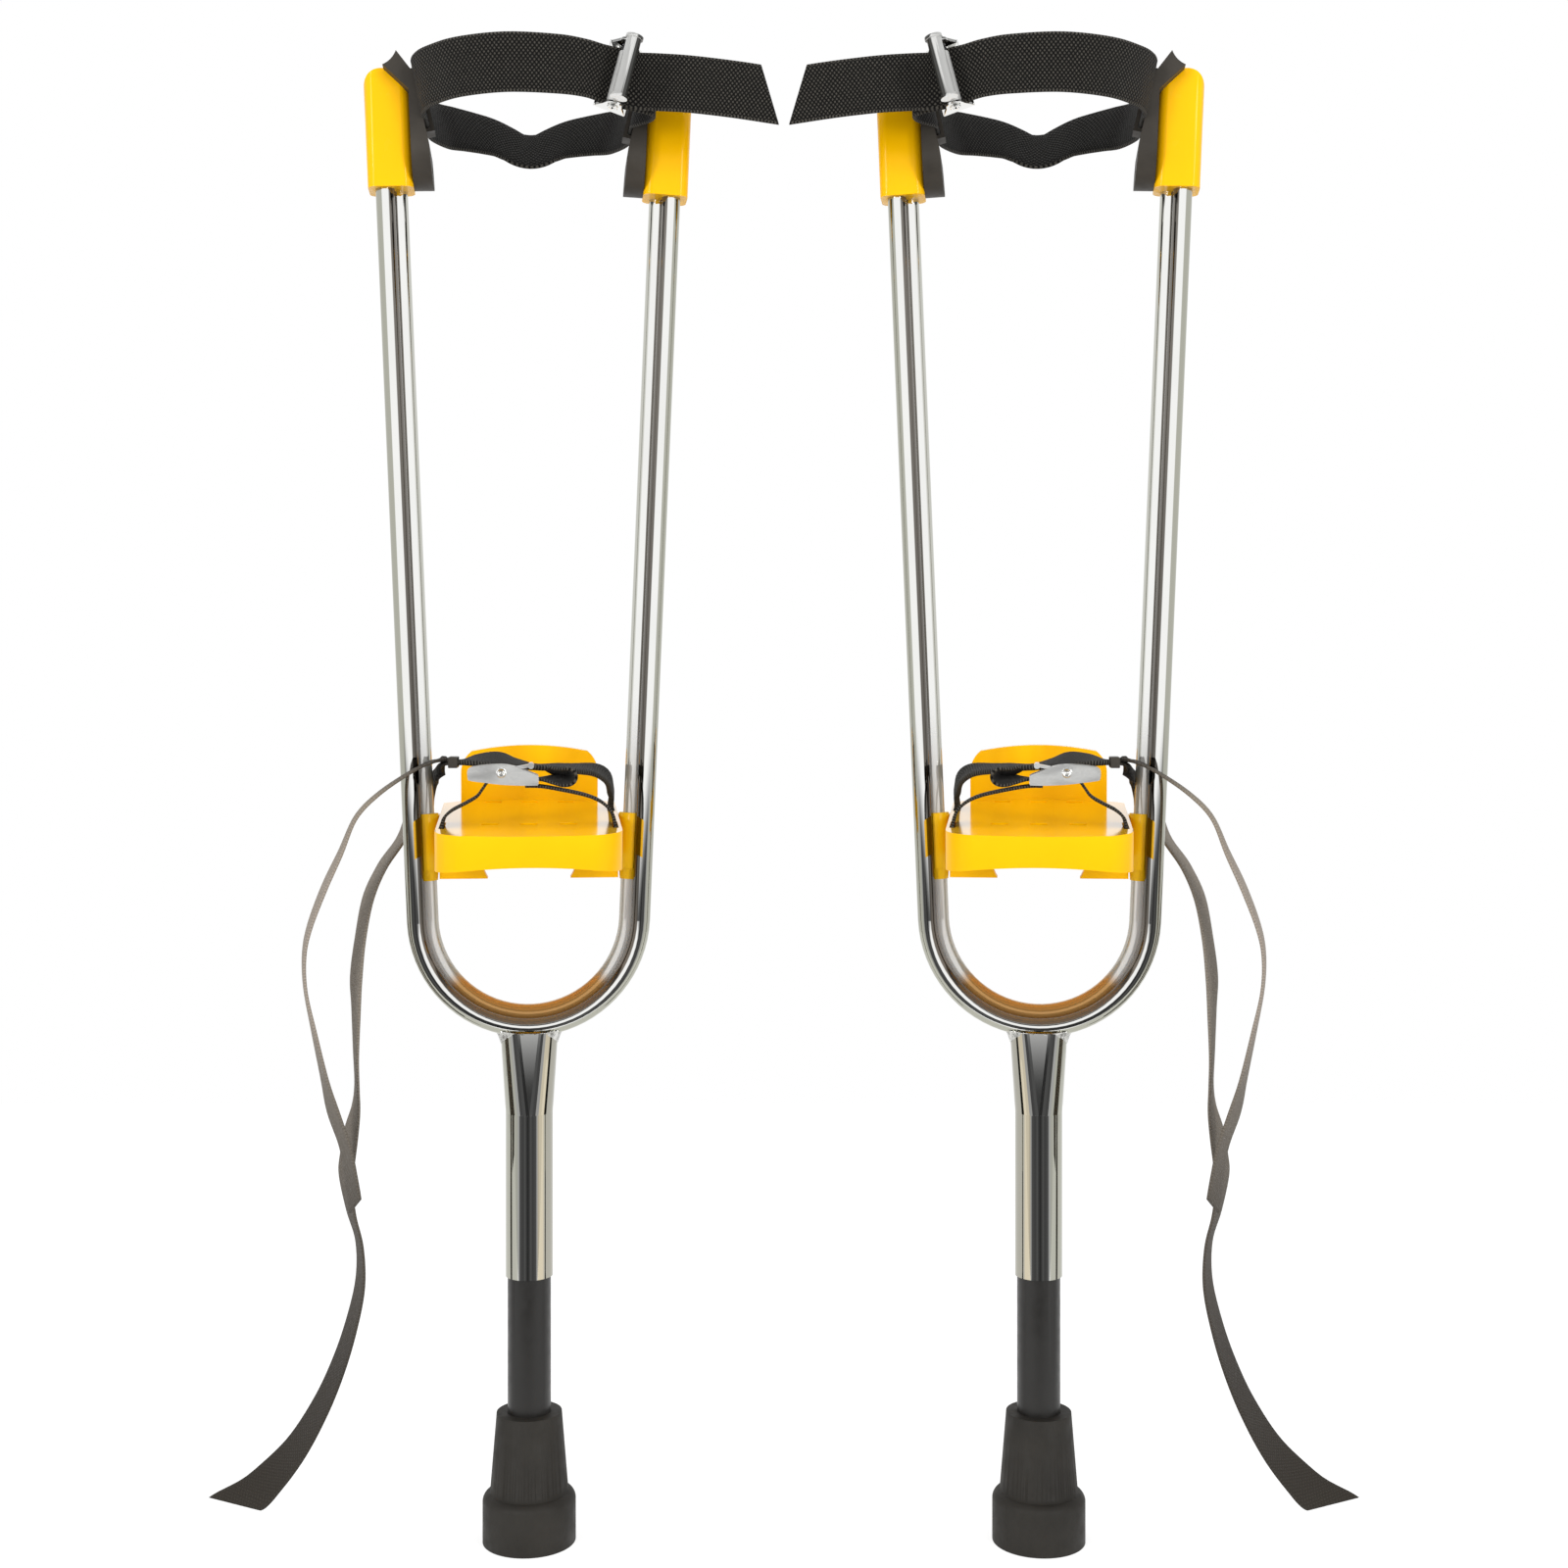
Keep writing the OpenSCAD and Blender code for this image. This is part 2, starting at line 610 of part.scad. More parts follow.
module cap_outline() {
    polygon([[-cap_w / 2, 0], [cap_w / 2, 0], [cap_w / 2, cap_h - cap_round],
        [cap_w / 2 - cap_round, cap_h], [slant_top, cap_h], [-cap_w / 2, cap_h - cap_slant]]);
    translate([cap_w / 2 - cap_round, cap_h - cap_round])
        circle(cap_round);
}

// Turns an outline in the plane of the bows into a solid of that depth
module across(depth) {
    rotate([90, 0, 0])
        linear_extrude(depth, center = true)
            children();
}

module pad_screw_hole() {
    translate([pad_in - pad_low_t, inner_bow_y, pad_screw_w])
        rotate([0, 90, 0])
            cylinder(d = screw_d, h = pad_low_t + cap_w / 2 - nest / 2);
}

module cap(s) {
    color("gold")
        cap_frame(s)
            difference() {
                intersection() {
                    across(cap_depth)
                        cap_outline();
                    linear_extrude(cap_h)
                        rounded_plan(cap_w, cap_depth, cap_edge);
                }
                translate([nest / 2, outer_bow_y, -cut])
                    cylinder(d = tube_d, h = tube_in + cut);
                translate([-nest / 2, inner_bow_y, -cut])
                    cylinder(d = tube_d, h = tube_in + cut);
                pad_screw_hole();
            }
}

// The pad lies on the cap's inner face and on its slant
module pad_outline() {
    slant = [slant_top - pad_in, cap_slant] / norm([slant_top - pad_in, cap_slant]);
    off = [-slant[1], slant[0]] * pad_top_t;
    top = [slant_top, cap_h] - slant;
    scoop_r = (pow(pad_top_t / 2 + 0.3, 2) + pad_scoop * pad_scoop) / (2 * pad_scoop);
    difference() {
        polygon([[pad_in, pad_up], [pad_in, cap_h - cap_slant], top, top + off,
            [pad_bend_x, pad_bend_w], [pad_low_x, pad_low_w], [pad_in - pad_low_t, pad_up]]);
        translate(top + off / 2 + slant * (scoop_r - pad_scoop))
            circle(scoop_r);
    }
}

// The pad seen from the side: half round below, with small corners above
module pad_side() {
    r = pad_depth / 2;
    high = cap_h + pad_top_t - pad_up;
    translate([0, 0, pad_up])
        rotate([90, 0, 90])
            linear_extrude(6 * cap_w, center = true) {
                translate([0, r])
                    circle(r);
                translate([-r, r])
                    square([2 * r, high - r - pad_corner]);
                translate([pad_corner - r, r])
                    square([2 * r - 2 * pad_corner, high - r]);
                for (s = [-1, 1])
                    translate([s * (r - pad_corner), high - pad_corner])
                        circle(pad_corner);
            }
}

// The loop on the pad through which the knee strap runs
module strap_loop() {
    high = knee_strap_w + 2 * loop_room + 2 * loop_t;
    translate([strap_mid_x, 0, strap_mid_w])
        rotate([0, pad_angle, 0])
            difference() {
                translate([-loop_gap - loop_t, -loop_w / 2, -high / 2])
                    cube([loop_gap + loop_t + loop_root, loop_w, high]);
                translate([-loop_gap, -loop_w, -high / 2 + loop_t])
                    cube([loop_gap, 2 * loop_w, high - 2 * loop_t]);
            }
}

module pad(s) {
    color("#1f1e1c")
        cap_frame(s)
            difference() {
                union() {
                    intersection() {
                        across(pad_depth)
                            pad_outline();
                        pad_side();
                    }
                    strap_loop();
                }
                pad_screw_hole();
                translate([pad_in - 2 * pad_low_t + screw_sink, inner_bow_y, pad_screw_w])
                    rotate([0, 90, 0])
                        cylinder(d = screw_head_d + 1, h = pad_low_t);
            }
}

module outside_cap() cap(-1);
module inside_cap() cap(1);
module outside_pad() pad(-1);
module inside_pad() pad(1);

// A pan-head screw along X: the underside of its head is at x = 0
module screw(l) {
    rotate([0, 90, 0]) {
        cylinder(d = screw_d, h = l);
        translate([0, 0, -screw_head_h])
            cylinder(d = screw_head_d, h = screw_head_h);
    }
}

module pad_screws() {
    color("gainsboro")
        for (s = [-1, 1])
            cap_frame(s)
                translate([pad_in - pad_low_t + screw_sink, inner_bow_y, pad_screw_w])
                    screw(pad_screw_l);
}

// The sloping frame of the footplate: its upper face is z = 0
module plate_frame() {
    translate([0, 0, plate_z])
        rotate([plate_pitch, 0, 0])
            children();
}

module plate_plan(inset) {
    l = plate_front + plate_back - 2 * inset;
    w = plate_w - 2 * inset;
    bulge_y = front_bulge_r - plate_front;
    difference() {
        intersection() {
            translate([0, (plate_back - plate_front) / 2])
                rounded_plan(w, l, plate_corner);
            translate([0, bulge_y])
                circle(front_bulge_r - inset, $fn = 180);
            union() {
                translate([0, heel_y])
                    circle(heel_r - inset, $fn = 180);
                translate([-plate_w, heel_y - 2 * plate_front])
                    square([2 * plate_w, 2 * plate_front]);
            }
        }
        for (s = [-1, 1])
            mirror([s < 0 ? 1 : 0, 0])
                front_corner_waste(inset, bulge_y);
    }
}

// What a round front corner leaves out between the side and the bulging front
module front_corner_waste(inset, bulge_y) {
    reach = front_bulge_r - front_corner;
    x = plate_w / 2 - front_corner;
    y = bulge_y - sqrt(reach * reach - x * x);
    far = 2 * front_corner;
    out = [x, y - bulge_y] * far / reach;
    difference() {
        polygon([[x, y], [x, y] + out, [x + far, y - far], [x + far, y]]);
        translate([x, y])
            circle(front_corner - inset + corner_lap, $fn = 96);
    }
}

module footplate_body() {
    difference() {
        translate([0, 0, -skirt_h])
            linear_extrude(skirt_h)
                plate_plan(0);
        translate([0, 0, -skirt_h - cut])
            linear_extrude(skirt_h - plate_t + cut)
                plate_plan(skirt_t);
        arch_r = (plate_w * plate_w / 4 + skirt_arch * skirt_arch) / (2 * skirt_arch);
        translate([0, 0, skirt_arch - skirt_h - arch_r])
            rotate([90, 0, 0])
                cylinder(r = arch_r, h = 4 * plate_front, center = true, $fn = 180);
    }
}

module cross_rib() {
    translate([0, rib_y, 0])
        difference() {
            translate([-plate_w / 2, 0, -rib_h])
                cube([plate_w, rib_t, rib_h - plate_t / 2]);
            translate([0, 0, rib_arch_z])
                rotate([90, 0, 0])
                    cylinder(r = rib_arch_r, h = 4 * rib_t, center = true, $fn = 96);
            translate([-rib_arch_r, -rib_t, rib_arch_z])
                cube([2 * rib_arch_r, 3 * rib_t, -rib_arch_z - plate_t]);
        }
}

module heel_cup() {
    intersection() {
        translate([0, heel_y, -plate_t])
            difference() {
                cylinder(r = heel_r, h = heel_h + plate_t, $fn = 180);
                translate([0, 0, -cut])
                    cylinder(r = heel_r - heel_t, h = heel_h + plate_t + 2 * cut, $fn = 180);
            }
        translate([0, heel_y + heel_r / 2, heel_h / 2 - plate_t / 2])
            rotate([90, 0, 0])
                linear_extrude(heel_r, center = true)
                    heel_outline();
    }
}

module heel_outline() {
    h = heel_h + plate_t;
    top_r = (heel_w * heel_w / 4 + heel_drop * heel_drop) / (2 * heel_drop);
    intersection() {
        union() {
            rounded_plan(heel_w, h, heel_round);
            translate([-heel_w / 2, -h / 2])
                square([heel_w, h / 2]);
        }
        translate([0, h / 2 - top_r])
            circle(top_r, $fn = 180);
    }
}

module drain_slots() {
    for (y = [drain_front_y, drain_back_y])
        for (i = [-1 : 1])
            translate([i * drain_step - drain_l / 2, y, -2 * plate_t])
                cube([drain_l, drain_w, 3 * plate_t]);
}

module strap_slot(x, y, w) {
    translate([x - w / 2, y - slot_l / 2, plate_z - skirt_h / 2])
        cube([w, slot_l, skirt_h]);
}

module clip_screw_places() {
    for (s = [-1, 1])
        for (i = [0, 1])
            mirror([s < 0 ? 1 : 0, 0, 0])
                translate([plate_w / 2 - skirt_t, clip_screw_y,
                    clip_z + clip_screw_up + i * clip_screw_step])
                    children();
}

module footplate() {
    color("gold")
        difference() {
            plate_frame() {
                footplate_body();
                cross_rib();
                heel_cup();
            }
            plate_frame()
                drain_slots();
            strap_slot(slot_x, toe_y, toe_slot_w);
            strap_slot(-slot_x, toe_y, toe_slot_w);
            strap_slot(slot_x, instep_y, instep_slot_w);
            clip_screw_places()
                screw(clip_screw_l);
        }
}

// A clip grips the inner bow's leg and is screwed to the side of the footplate
module plate_clip() {
    boss_y = clip_screw_y + screw_head_d / 2 + 1;
    tube_x = leg_x(inner_bow_r, clip_z);
    difference() {
        union() {
            translate([tube_x, inner_bow_y, clip_z])
                rotate([0, lean, 0])
                    cylinder(d = tube_d + 2 * clip_wall, h = clip_h);
            translate([tube_x, inner_bow_y, clip_z])
                rotate([0, lean + 180, 0])
                    cylinder(d1 = tube_d + clip_wall, d2 = tube_d + clip_wall / 2, h = nose_h);
            translate([plate_w / 2, inner_bow_y, clip_z])
                cube([tube_x - plate_w / 2 + tube_d / 4, boss_y - inner_bow_y, clip_h - 1]);
        }
        translate([plate_w / 2 - plate_w, -plate_front, clip_z - 2 * nose_h])
            cube([plate_w, 2 * plate_front, 2 * clip_h + 2 * nose_h]);
        outer_bow(tube_d + 2 * clip_gap);
        inner_bow(tube_d);
    }
}

module plate_clips() {
    color("goldenrod")
        for (s = [-1, 1])
            difference() {
                mirror([s < 0 ? 1 : 0, 0, 0])
                    plate_clip();
                clip_screw_places()
                    screw(clip_screw_l);
            }
}

module clip_screws() {
    color("gainsboro")
        clip_screw_places()
            screw(clip_screw_l);
}

// Smooth curve through the points of a route, with the given steps between two points
function smooth(p, steps) = [
    for (i = [0 : len(p) - 2])
        let (a = p[max(i - 1, 0)], b = p[i], c = p[i + 1], d = p[min(i + 2, len(p) - 1)])
        for (k = [0 : steps - 1])
            let (t = k / steps)
            b + t / 2 * ((c - a) + t * ((2 * a - 5 * b + 4 * c - d) + t * (3 * (b - c) + d - a))),
    p[len(p) - 1]];

function place_of(row) = [row[0], row[1], row[2]];
function unit(v) = v / norm(v);
function heading(rows, i) =
    unit(place_of(rows[min(i + 1, len(rows) - 1)]) - place_of(rows[max(i - 1, 0)]));

// Direction of the strap's width, square to its run
function width_of(row, run, upright) =
    let (across_run = [-run[2], 0, run[0]],
        out = [row[0], row[1], 0],
        w = len(row) == 7 ? [row[3], row[4], row[5]]
            : upright ? [0, 0, 1] * cos(row[3]) + unit(out) * sin(row[3])
            : unit(across_run) * -cos(row[3]) + [0, 1, 0] * sin(row[3]))
    unit(w - (w * run) * run);

// Share of the strap's width that is left where it is bunched
function bunch_of(row) = len(row) == 7 ? row[6] : 1;

// A flat strap swept along a route; slant moves the last edge's corners apart
module strap(route, w, t, upright = false, slant = 0, steps = 2) {
    rows = smooth(route, steps);
    rings = len(rows);
    bevel = t / 4;
    section = [[w / 2, t / 2 - bevel], [w / 2 - bevel, t / 2], [bevel - w / 2, t / 2],
        [-w / 2, t / 2 - bevel], [-w / 2, bevel - t / 2], [bevel - w / 2, -t / 2],
        [w / 2 - bevel, -t / 2], [w / 2, bevel - t / 2]];
    points = [for (i = [0 : rings - 1])
        let (run = heading(rows, i), side = width_of(rows[i], run, upright), face = cross(run, side),
            skew = i == rings - 1 ? slant / w : 0)
        for (c = section)
            place_of(rows[i]) + side * c[0] * bunch_of(rows[i]) + face * c[1] + run * skew * c[0]];
    polyhedron(points, tube_faces(rings, len(section)), convexity = 10);
}

module knee_strap() {
    color("#262420")
        strap(knee_route, knee_strap_w, knee_strap_t, upright = true, slant = -knee_cut_slant);
}

module toe_strap() {
    color("#262420")
        strap(toe_route, foot_strap_w, foot_strap_t);
}

// The instep strap lies double
module instep_strap() {
    color("#262420")
        strap(instep_route, foot_strap_w, 2 * foot_strap_t);
}

module front_strap_tail() {
    color("#262420")
        strap(front_tail_route, foot_strap_w, foot_strap_t, slant = cut_slant, steps = 1);
}

module rear_strap_tail() {
    color("#262420")
        strap(rear_tail_route, foot_strap_w, foot_strap_t, slant = long_cut_slant, steps = 1);
}

// A loop of sheet that holds the two layers of the instep strap
module strap_keeper() {
    room_w = foot_strap_w + 2 * strap_room + 0.6;
    room_h = 2 * foot_strap_t + 2 * strap_room + 0.2;
    color("#262420")
        translate(keeper_p)
            difference() {
                cube([keeper_l, room_w + 2 * keeper_t, room_h + 2 * keeper_t], center = true);
                cube([2 * keeper_l, room_w, room_h], center = true);
            }
}

// The frame of the knee buckle: x along the strap, y away from the viewer, z across it
module knee_buckle_place() {
    translate(knee_p)
        rotate([0, knee_roll, knee_yaw])
            children();
}

module knee_buckle_frame() {
    base_l = knee_buckle_l;
    high = 2 * (knee_in + sheet_t);
    color("lightgray")
        knee_buckle_place()
            difference() {
                union() {
                    translate([-base_l / 2, knee_base_y, -high / 2])
                        cube([base_l, sheet_t, high]);
                    for (s = [-1, 1])
                        translate([0, 0, s * (knee_in + sheet_t / 2)])
                            linear_extrude(sheet_t, center = true)
                                knee_ear();
                }
                translate([0, knee_pin_y, 0])
                    cylinder(d = knee_pin_d, h = 2 * high, center = true);
            }
}

module knee_ear() {
    translate([0, knee_pin_y])
        circle(knee_ear_r);
    polygon([[-knee_ear_r, knee_pin_y], [knee_ear_r, knee_pin_y],
        [knee_buckle_l / 2, knee_base_y + sheet_t], [-knee_buckle_l / 2, knee_base_y + sheet_t]]);
}

module rivet(d, head_d, grip) {
    end = grip / 2 + rivet_head_t;
    difference() {
        union() {
            cylinder(d = d, h = 2 * end, center = true);
            for (s = [-1, 1])
                translate([0, 0, s * (grip + rivet_head_t) / 2])
                    cylinder(d = head_d, h = rivet_head_t, center = true);
        }
        for (s = [0, 1])
            mirror([0, 0, s])
                translate([0, 0, end - rivet_hollow])
                    cylinder(d1 = d / 2, d2 = head_d * 0.6, h = rivet_hollow + eps);
    }
}

module knee_buckle_pin() {
    color("gray")
        knee_buckle_place()
            translate([0, knee_pin_y, 0])
                rivet(knee_pin_d, knee_pin_d + 2.6, 2 * (knee_in + sheet_t));
}

// The lever at rest points to the front; its cam presses towards the strap
module knee_buckle_lever() {
    half = knee_in - lever_room;
    color("silver")
        knee_buckle_place()
            translate([0, knee_pin_y, 0])
                difference() {
                    union() {
                        translate([0, 0, -half])
                            cylinder(d = knee_hub_d, h = 2 * half - spring_room);
                        translate([0, knee_cam, -half])
                            cylinder(d = knee_hub_d, h = 2 * half - spring_room);
                        translate([-1, -knee_bar_out, -half + 1])
                            cube([2, knee_bar_out, 2 * half - spring_room - 2]);
                        translate([0, -knee_bar_out, -half])
                            cylinder(d = knee_bar_d, h = 2 * half);
                        for (s = [-1, 1])
                            translate([0, -knee_bar_out, s * half])
                                cylinder(d = knee_bar_d + 1.6, h = sheet_t, center = true);
                    }
                    cylinder(d = knee_pin_d + 2 * pin_gap, h = 4 * half, center = true);
                }
}

// The frame of the toe buckle: x along the strap, z away from the foot
module toe_buckle_place() {
    translate(toe_p)
        children();
}

module toe_buckle_frame() {
    color("lightgray")
        toe_buckle_place()
            difference() {
                union() {
                    translate([toe_base_x, -toe_in_w - eps, toe_base_z - sheet_t])
                        cube([toe_buckle_l / 2 - toe_base_x, 2 * toe_in_w + 2 * eps, sheet_t]);
                    for (s = [-1, 1])
                        translate([0, s * (toe_in_w + sheet_t / 2), 0])
                            across(sheet_t)
                                toe_cheek();
                }
                translate([toe_pin_x, 0, toe_pin_z])
                    rotate([90, 0, 0])
                        cylinder(d = toe_pin_d, h = 4 * toe_in_w, center = true);
            }
}

// Smooth closed curve through points
function closed(p, steps) = let (n = len(p)) [
    for (i = [0 : n - 1])
        let (a = p[(i + n - 1) % n], b = p[i], c = p[(i + 1) % n], d = p[(i + 2) % n])
        for (k = [0 : steps - 1])
            let (t = k / steps)
            b + t / 2 * ((c - a) + t * ((2 * a - 5 * b + 4 * c - d) + t * (3 * (b - c) + d - a)))];

module toe_cheek() {
    polygon(closed([for (p = toe_side) [p[0] * toe_buckle_l, p[1] * toe_buckle_h] / 2], 3));
}

module toe_buckle_pin() {
    color("gray")
        toe_buckle_place()
            translate([toe_pin_x, 0, toe_pin_z])
                rotate([90, 0, 0])
                    rivet(toe_pin_d, toe_pin_d + 2.6, 2 * (toe_in_w + sheet_t));
}

// The lever lies along the strap with its tab above the sides
module toe_buckle_lever() {
    half = toe_in_w - lever_room;
    rise = atan(toe_tab_z / toe_tab_x);
    color("silver")
        toe_buckle_place()
            translate([toe_pin_x, 0, toe_pin_z])
                difference() {
                    union() {
                        rotate([90, 0, 0])
                            translate([0, 0, -half])
                                cylinder(d = toe_hub_d, h = 2 * half - spring_room);
                        rotate([0, -rise, 0])
                            translate([0, spring_room - half, 0])
                                cube([toe_tab_x, 2 * half - spring_room, sheet_t]);
                        translate([toe_tab_x, 0, toe_tab_z + sheet_t / 2])
                            rotate([90, 0, 0])
                                cylinder(d = toe_tab_d, h = 2 * half, center = true);
                    }
                    rotate([90, 0, 0])
                        cylinder(d = toe_pin_d + 2 * pin_gap, h = 4 * half, center = true);
                }
}

// Small coils round the pins that close the two levers
module buckle_springs() {
    knee_half = knee_in - lever_room;
    toe_half = toe_in_w - lever_room;
    coil_h = spring_room - 2 * end_gap;
    color("gray") {
        knee_buckle_place()
            translate([0, knee_pin_y, knee_half - spring_room + end_gap])
                coil(knee_pin_d + 4 * lever_wire, lever_wire, 3, coil_h);
        toe_buckle_place()
            translate([toe_pin_x, end_gap - toe_half + coil_h, toe_pin_z])
                rotate([90, 0, 0])
                    coil(toe_pin_d + 3 * lever_wire, lever_wire, 3, coil_h);
    }
}

for (side = SIDES) {
    place(side) outer_frame_tube();
    place(side) inner_frame_tube();
    place(side) leg_sleeve();
    place(side) spring_seat();
    place(side) stop_bolt();
    place(side) peg_spring();
    place(side) peg_tube();
    place(side) peg_plug();
    place(side) rubber_tip();
    place(side) outside_cap();
    place(side) inside_cap();
    place(side) outside_pad();
    place(side) inside_pad();
    place(side) pad_screws();
    place(side) footplate();
    place(side) plate_clips();
    place(side) clip_screws();
    place(side) knee_strap();
    place(side) knee_buckle_frame();
    place(side) knee_buckle_lever();
    place(side) knee_buckle_pin();
    place(side) toe_strap();
    place(side) toe_buckle_frame();
    place(side) toe_buckle_lever();
    place(side) toe_buckle_pin();
    place(side) buckle_springs();
    place(side) instep_strap();
    place(side) strap_keeper();
    place(side) front_strap_tail();
    place(side) rear_strap_tail();
}
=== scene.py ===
"""Looks of the pair of peg stilts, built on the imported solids."""
import json
import math

import bpy
import numpy as np
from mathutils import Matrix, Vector

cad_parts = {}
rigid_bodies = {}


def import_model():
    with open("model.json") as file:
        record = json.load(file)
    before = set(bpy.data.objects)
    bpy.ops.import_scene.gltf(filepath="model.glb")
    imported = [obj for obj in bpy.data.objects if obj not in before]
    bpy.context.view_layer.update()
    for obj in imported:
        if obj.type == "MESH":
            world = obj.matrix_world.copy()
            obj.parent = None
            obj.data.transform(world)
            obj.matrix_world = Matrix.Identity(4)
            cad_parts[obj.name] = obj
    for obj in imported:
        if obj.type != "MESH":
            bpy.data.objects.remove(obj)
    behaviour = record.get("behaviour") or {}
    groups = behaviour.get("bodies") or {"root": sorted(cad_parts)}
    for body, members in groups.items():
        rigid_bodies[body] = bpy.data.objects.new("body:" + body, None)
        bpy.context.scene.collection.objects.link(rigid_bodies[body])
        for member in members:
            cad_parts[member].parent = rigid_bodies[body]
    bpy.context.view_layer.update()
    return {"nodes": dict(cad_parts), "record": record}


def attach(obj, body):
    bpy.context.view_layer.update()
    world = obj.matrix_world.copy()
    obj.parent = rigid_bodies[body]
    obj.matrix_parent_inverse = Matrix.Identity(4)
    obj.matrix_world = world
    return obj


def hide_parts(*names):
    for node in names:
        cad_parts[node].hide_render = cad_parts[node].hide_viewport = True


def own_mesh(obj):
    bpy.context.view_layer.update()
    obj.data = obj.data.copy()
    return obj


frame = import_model()

SIDES = ("left", "right")
# Sizes of the solids: millimetres, or metres where the name says so, and the angle in radians
STANCE = 275.0
STANCE_Y = -1.2
TOE_IN = math.radians(7)
SLOT_X = 44.8
TOE_Y = -34
INSTEP_Y = 29.5
BOW_Z = 337.0
BOW_OUTSIDE = 65.0
FLARE_W = 31.2
FLARE_DEPTH = 19.8
KNEE_WIDTH = 30
KNEE_THICK = 1.8
FOOT_WIDTH = 20
FOOT_THICK = 1.5
# The cut ends of the straps: how far one edge runs ahead of the other, and over what length
KNEE_SLANT = -13
FRONT_SLANT = 12
REAR_SLANT = 21
SLANT_REACH = 25
# Straps and weld beads are swept in rings of points
SMOOTH_STEPS = 6
SECTION_POINTS = 16
INSIDE_FACE = range(12, 16)
BEAD_RINGS = 96
FILLET_POINTS = 7
ROOT = 0.8
# The photograph's frame in pixels, and the camera's place in metres
IMAGE_PIXELS = 1600
FOCAL_PIXELS = 2060
SHIFT_PIXELS = -75
SENSOR = 36
CAMERA_SPOT = (0, -1.0912, 0.4475)
# Light: strengths of the world and the floor, lamps in metres and watts
WORLD_LIGHT = 0.8
FLOOR_GLOW = 0.75
STRIP_SPOT = (1.2, -1.72, 1.0)
STRIP_AIM = (0, 0, 0.5)
STRIP_SIZE = (0.3, 1.5)
STRIP_POWER = 19
TOP_SPOT = (0, 0.2, 2.2)
TOP_AIM = (0, 0, 0.4)
TOP_SIZE = (1.6, 1.2)
TOP_POWER = 8


# Places: points of one stilt in millimetres go to the frame of the pair in metres
def place(side, points):
    p = np.atleast_2d(np.array(points, dtype=float))
    c = math.cos(TOE_IN)
    s = math.sin(TOE_IN)
    x = -STANCE / 2 + p[:, 0] * c - p[:, 1] * s
    y = STANCE_Y + p[:, 0] * s + p[:, 1] * c
    if side == "right":
        x = -x
    return np.stack([x, y, p[:, 2]], axis=1) / 1000


def mesh_piece(name, side, verts, faces, mat, body, uvs=None):
    """A piece from points in one stilt's own millimetres, mirrored for the right one."""
    if side == "right":
        faces = [tuple(reversed(f)) for f in faces]
    mesh = bpy.data.meshes.new(f"{side}_{name}")
    mesh.from_pydata([tuple(v) for v in place(side, verts)], [], faces)
    if uvs is not None:
        layer = mesh.uv_layers.new(name="weave")
        for poly in mesh.polygons:
            for loop in poly.loop_indices:
                layer.data[loop].uv = uvs[mesh.loops[loop].vertex_index]
    mesh.polygons.foreach_set("use_smooth", [True] * len(mesh.polygons))
    mesh.update()
    piece = bpy.data.objects.new(f"{side}_{name}", mesh)
    bpy.context.collection.objects.link(piece)
    mesh.materials.append(mat)
    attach(piece, body)
    return piece


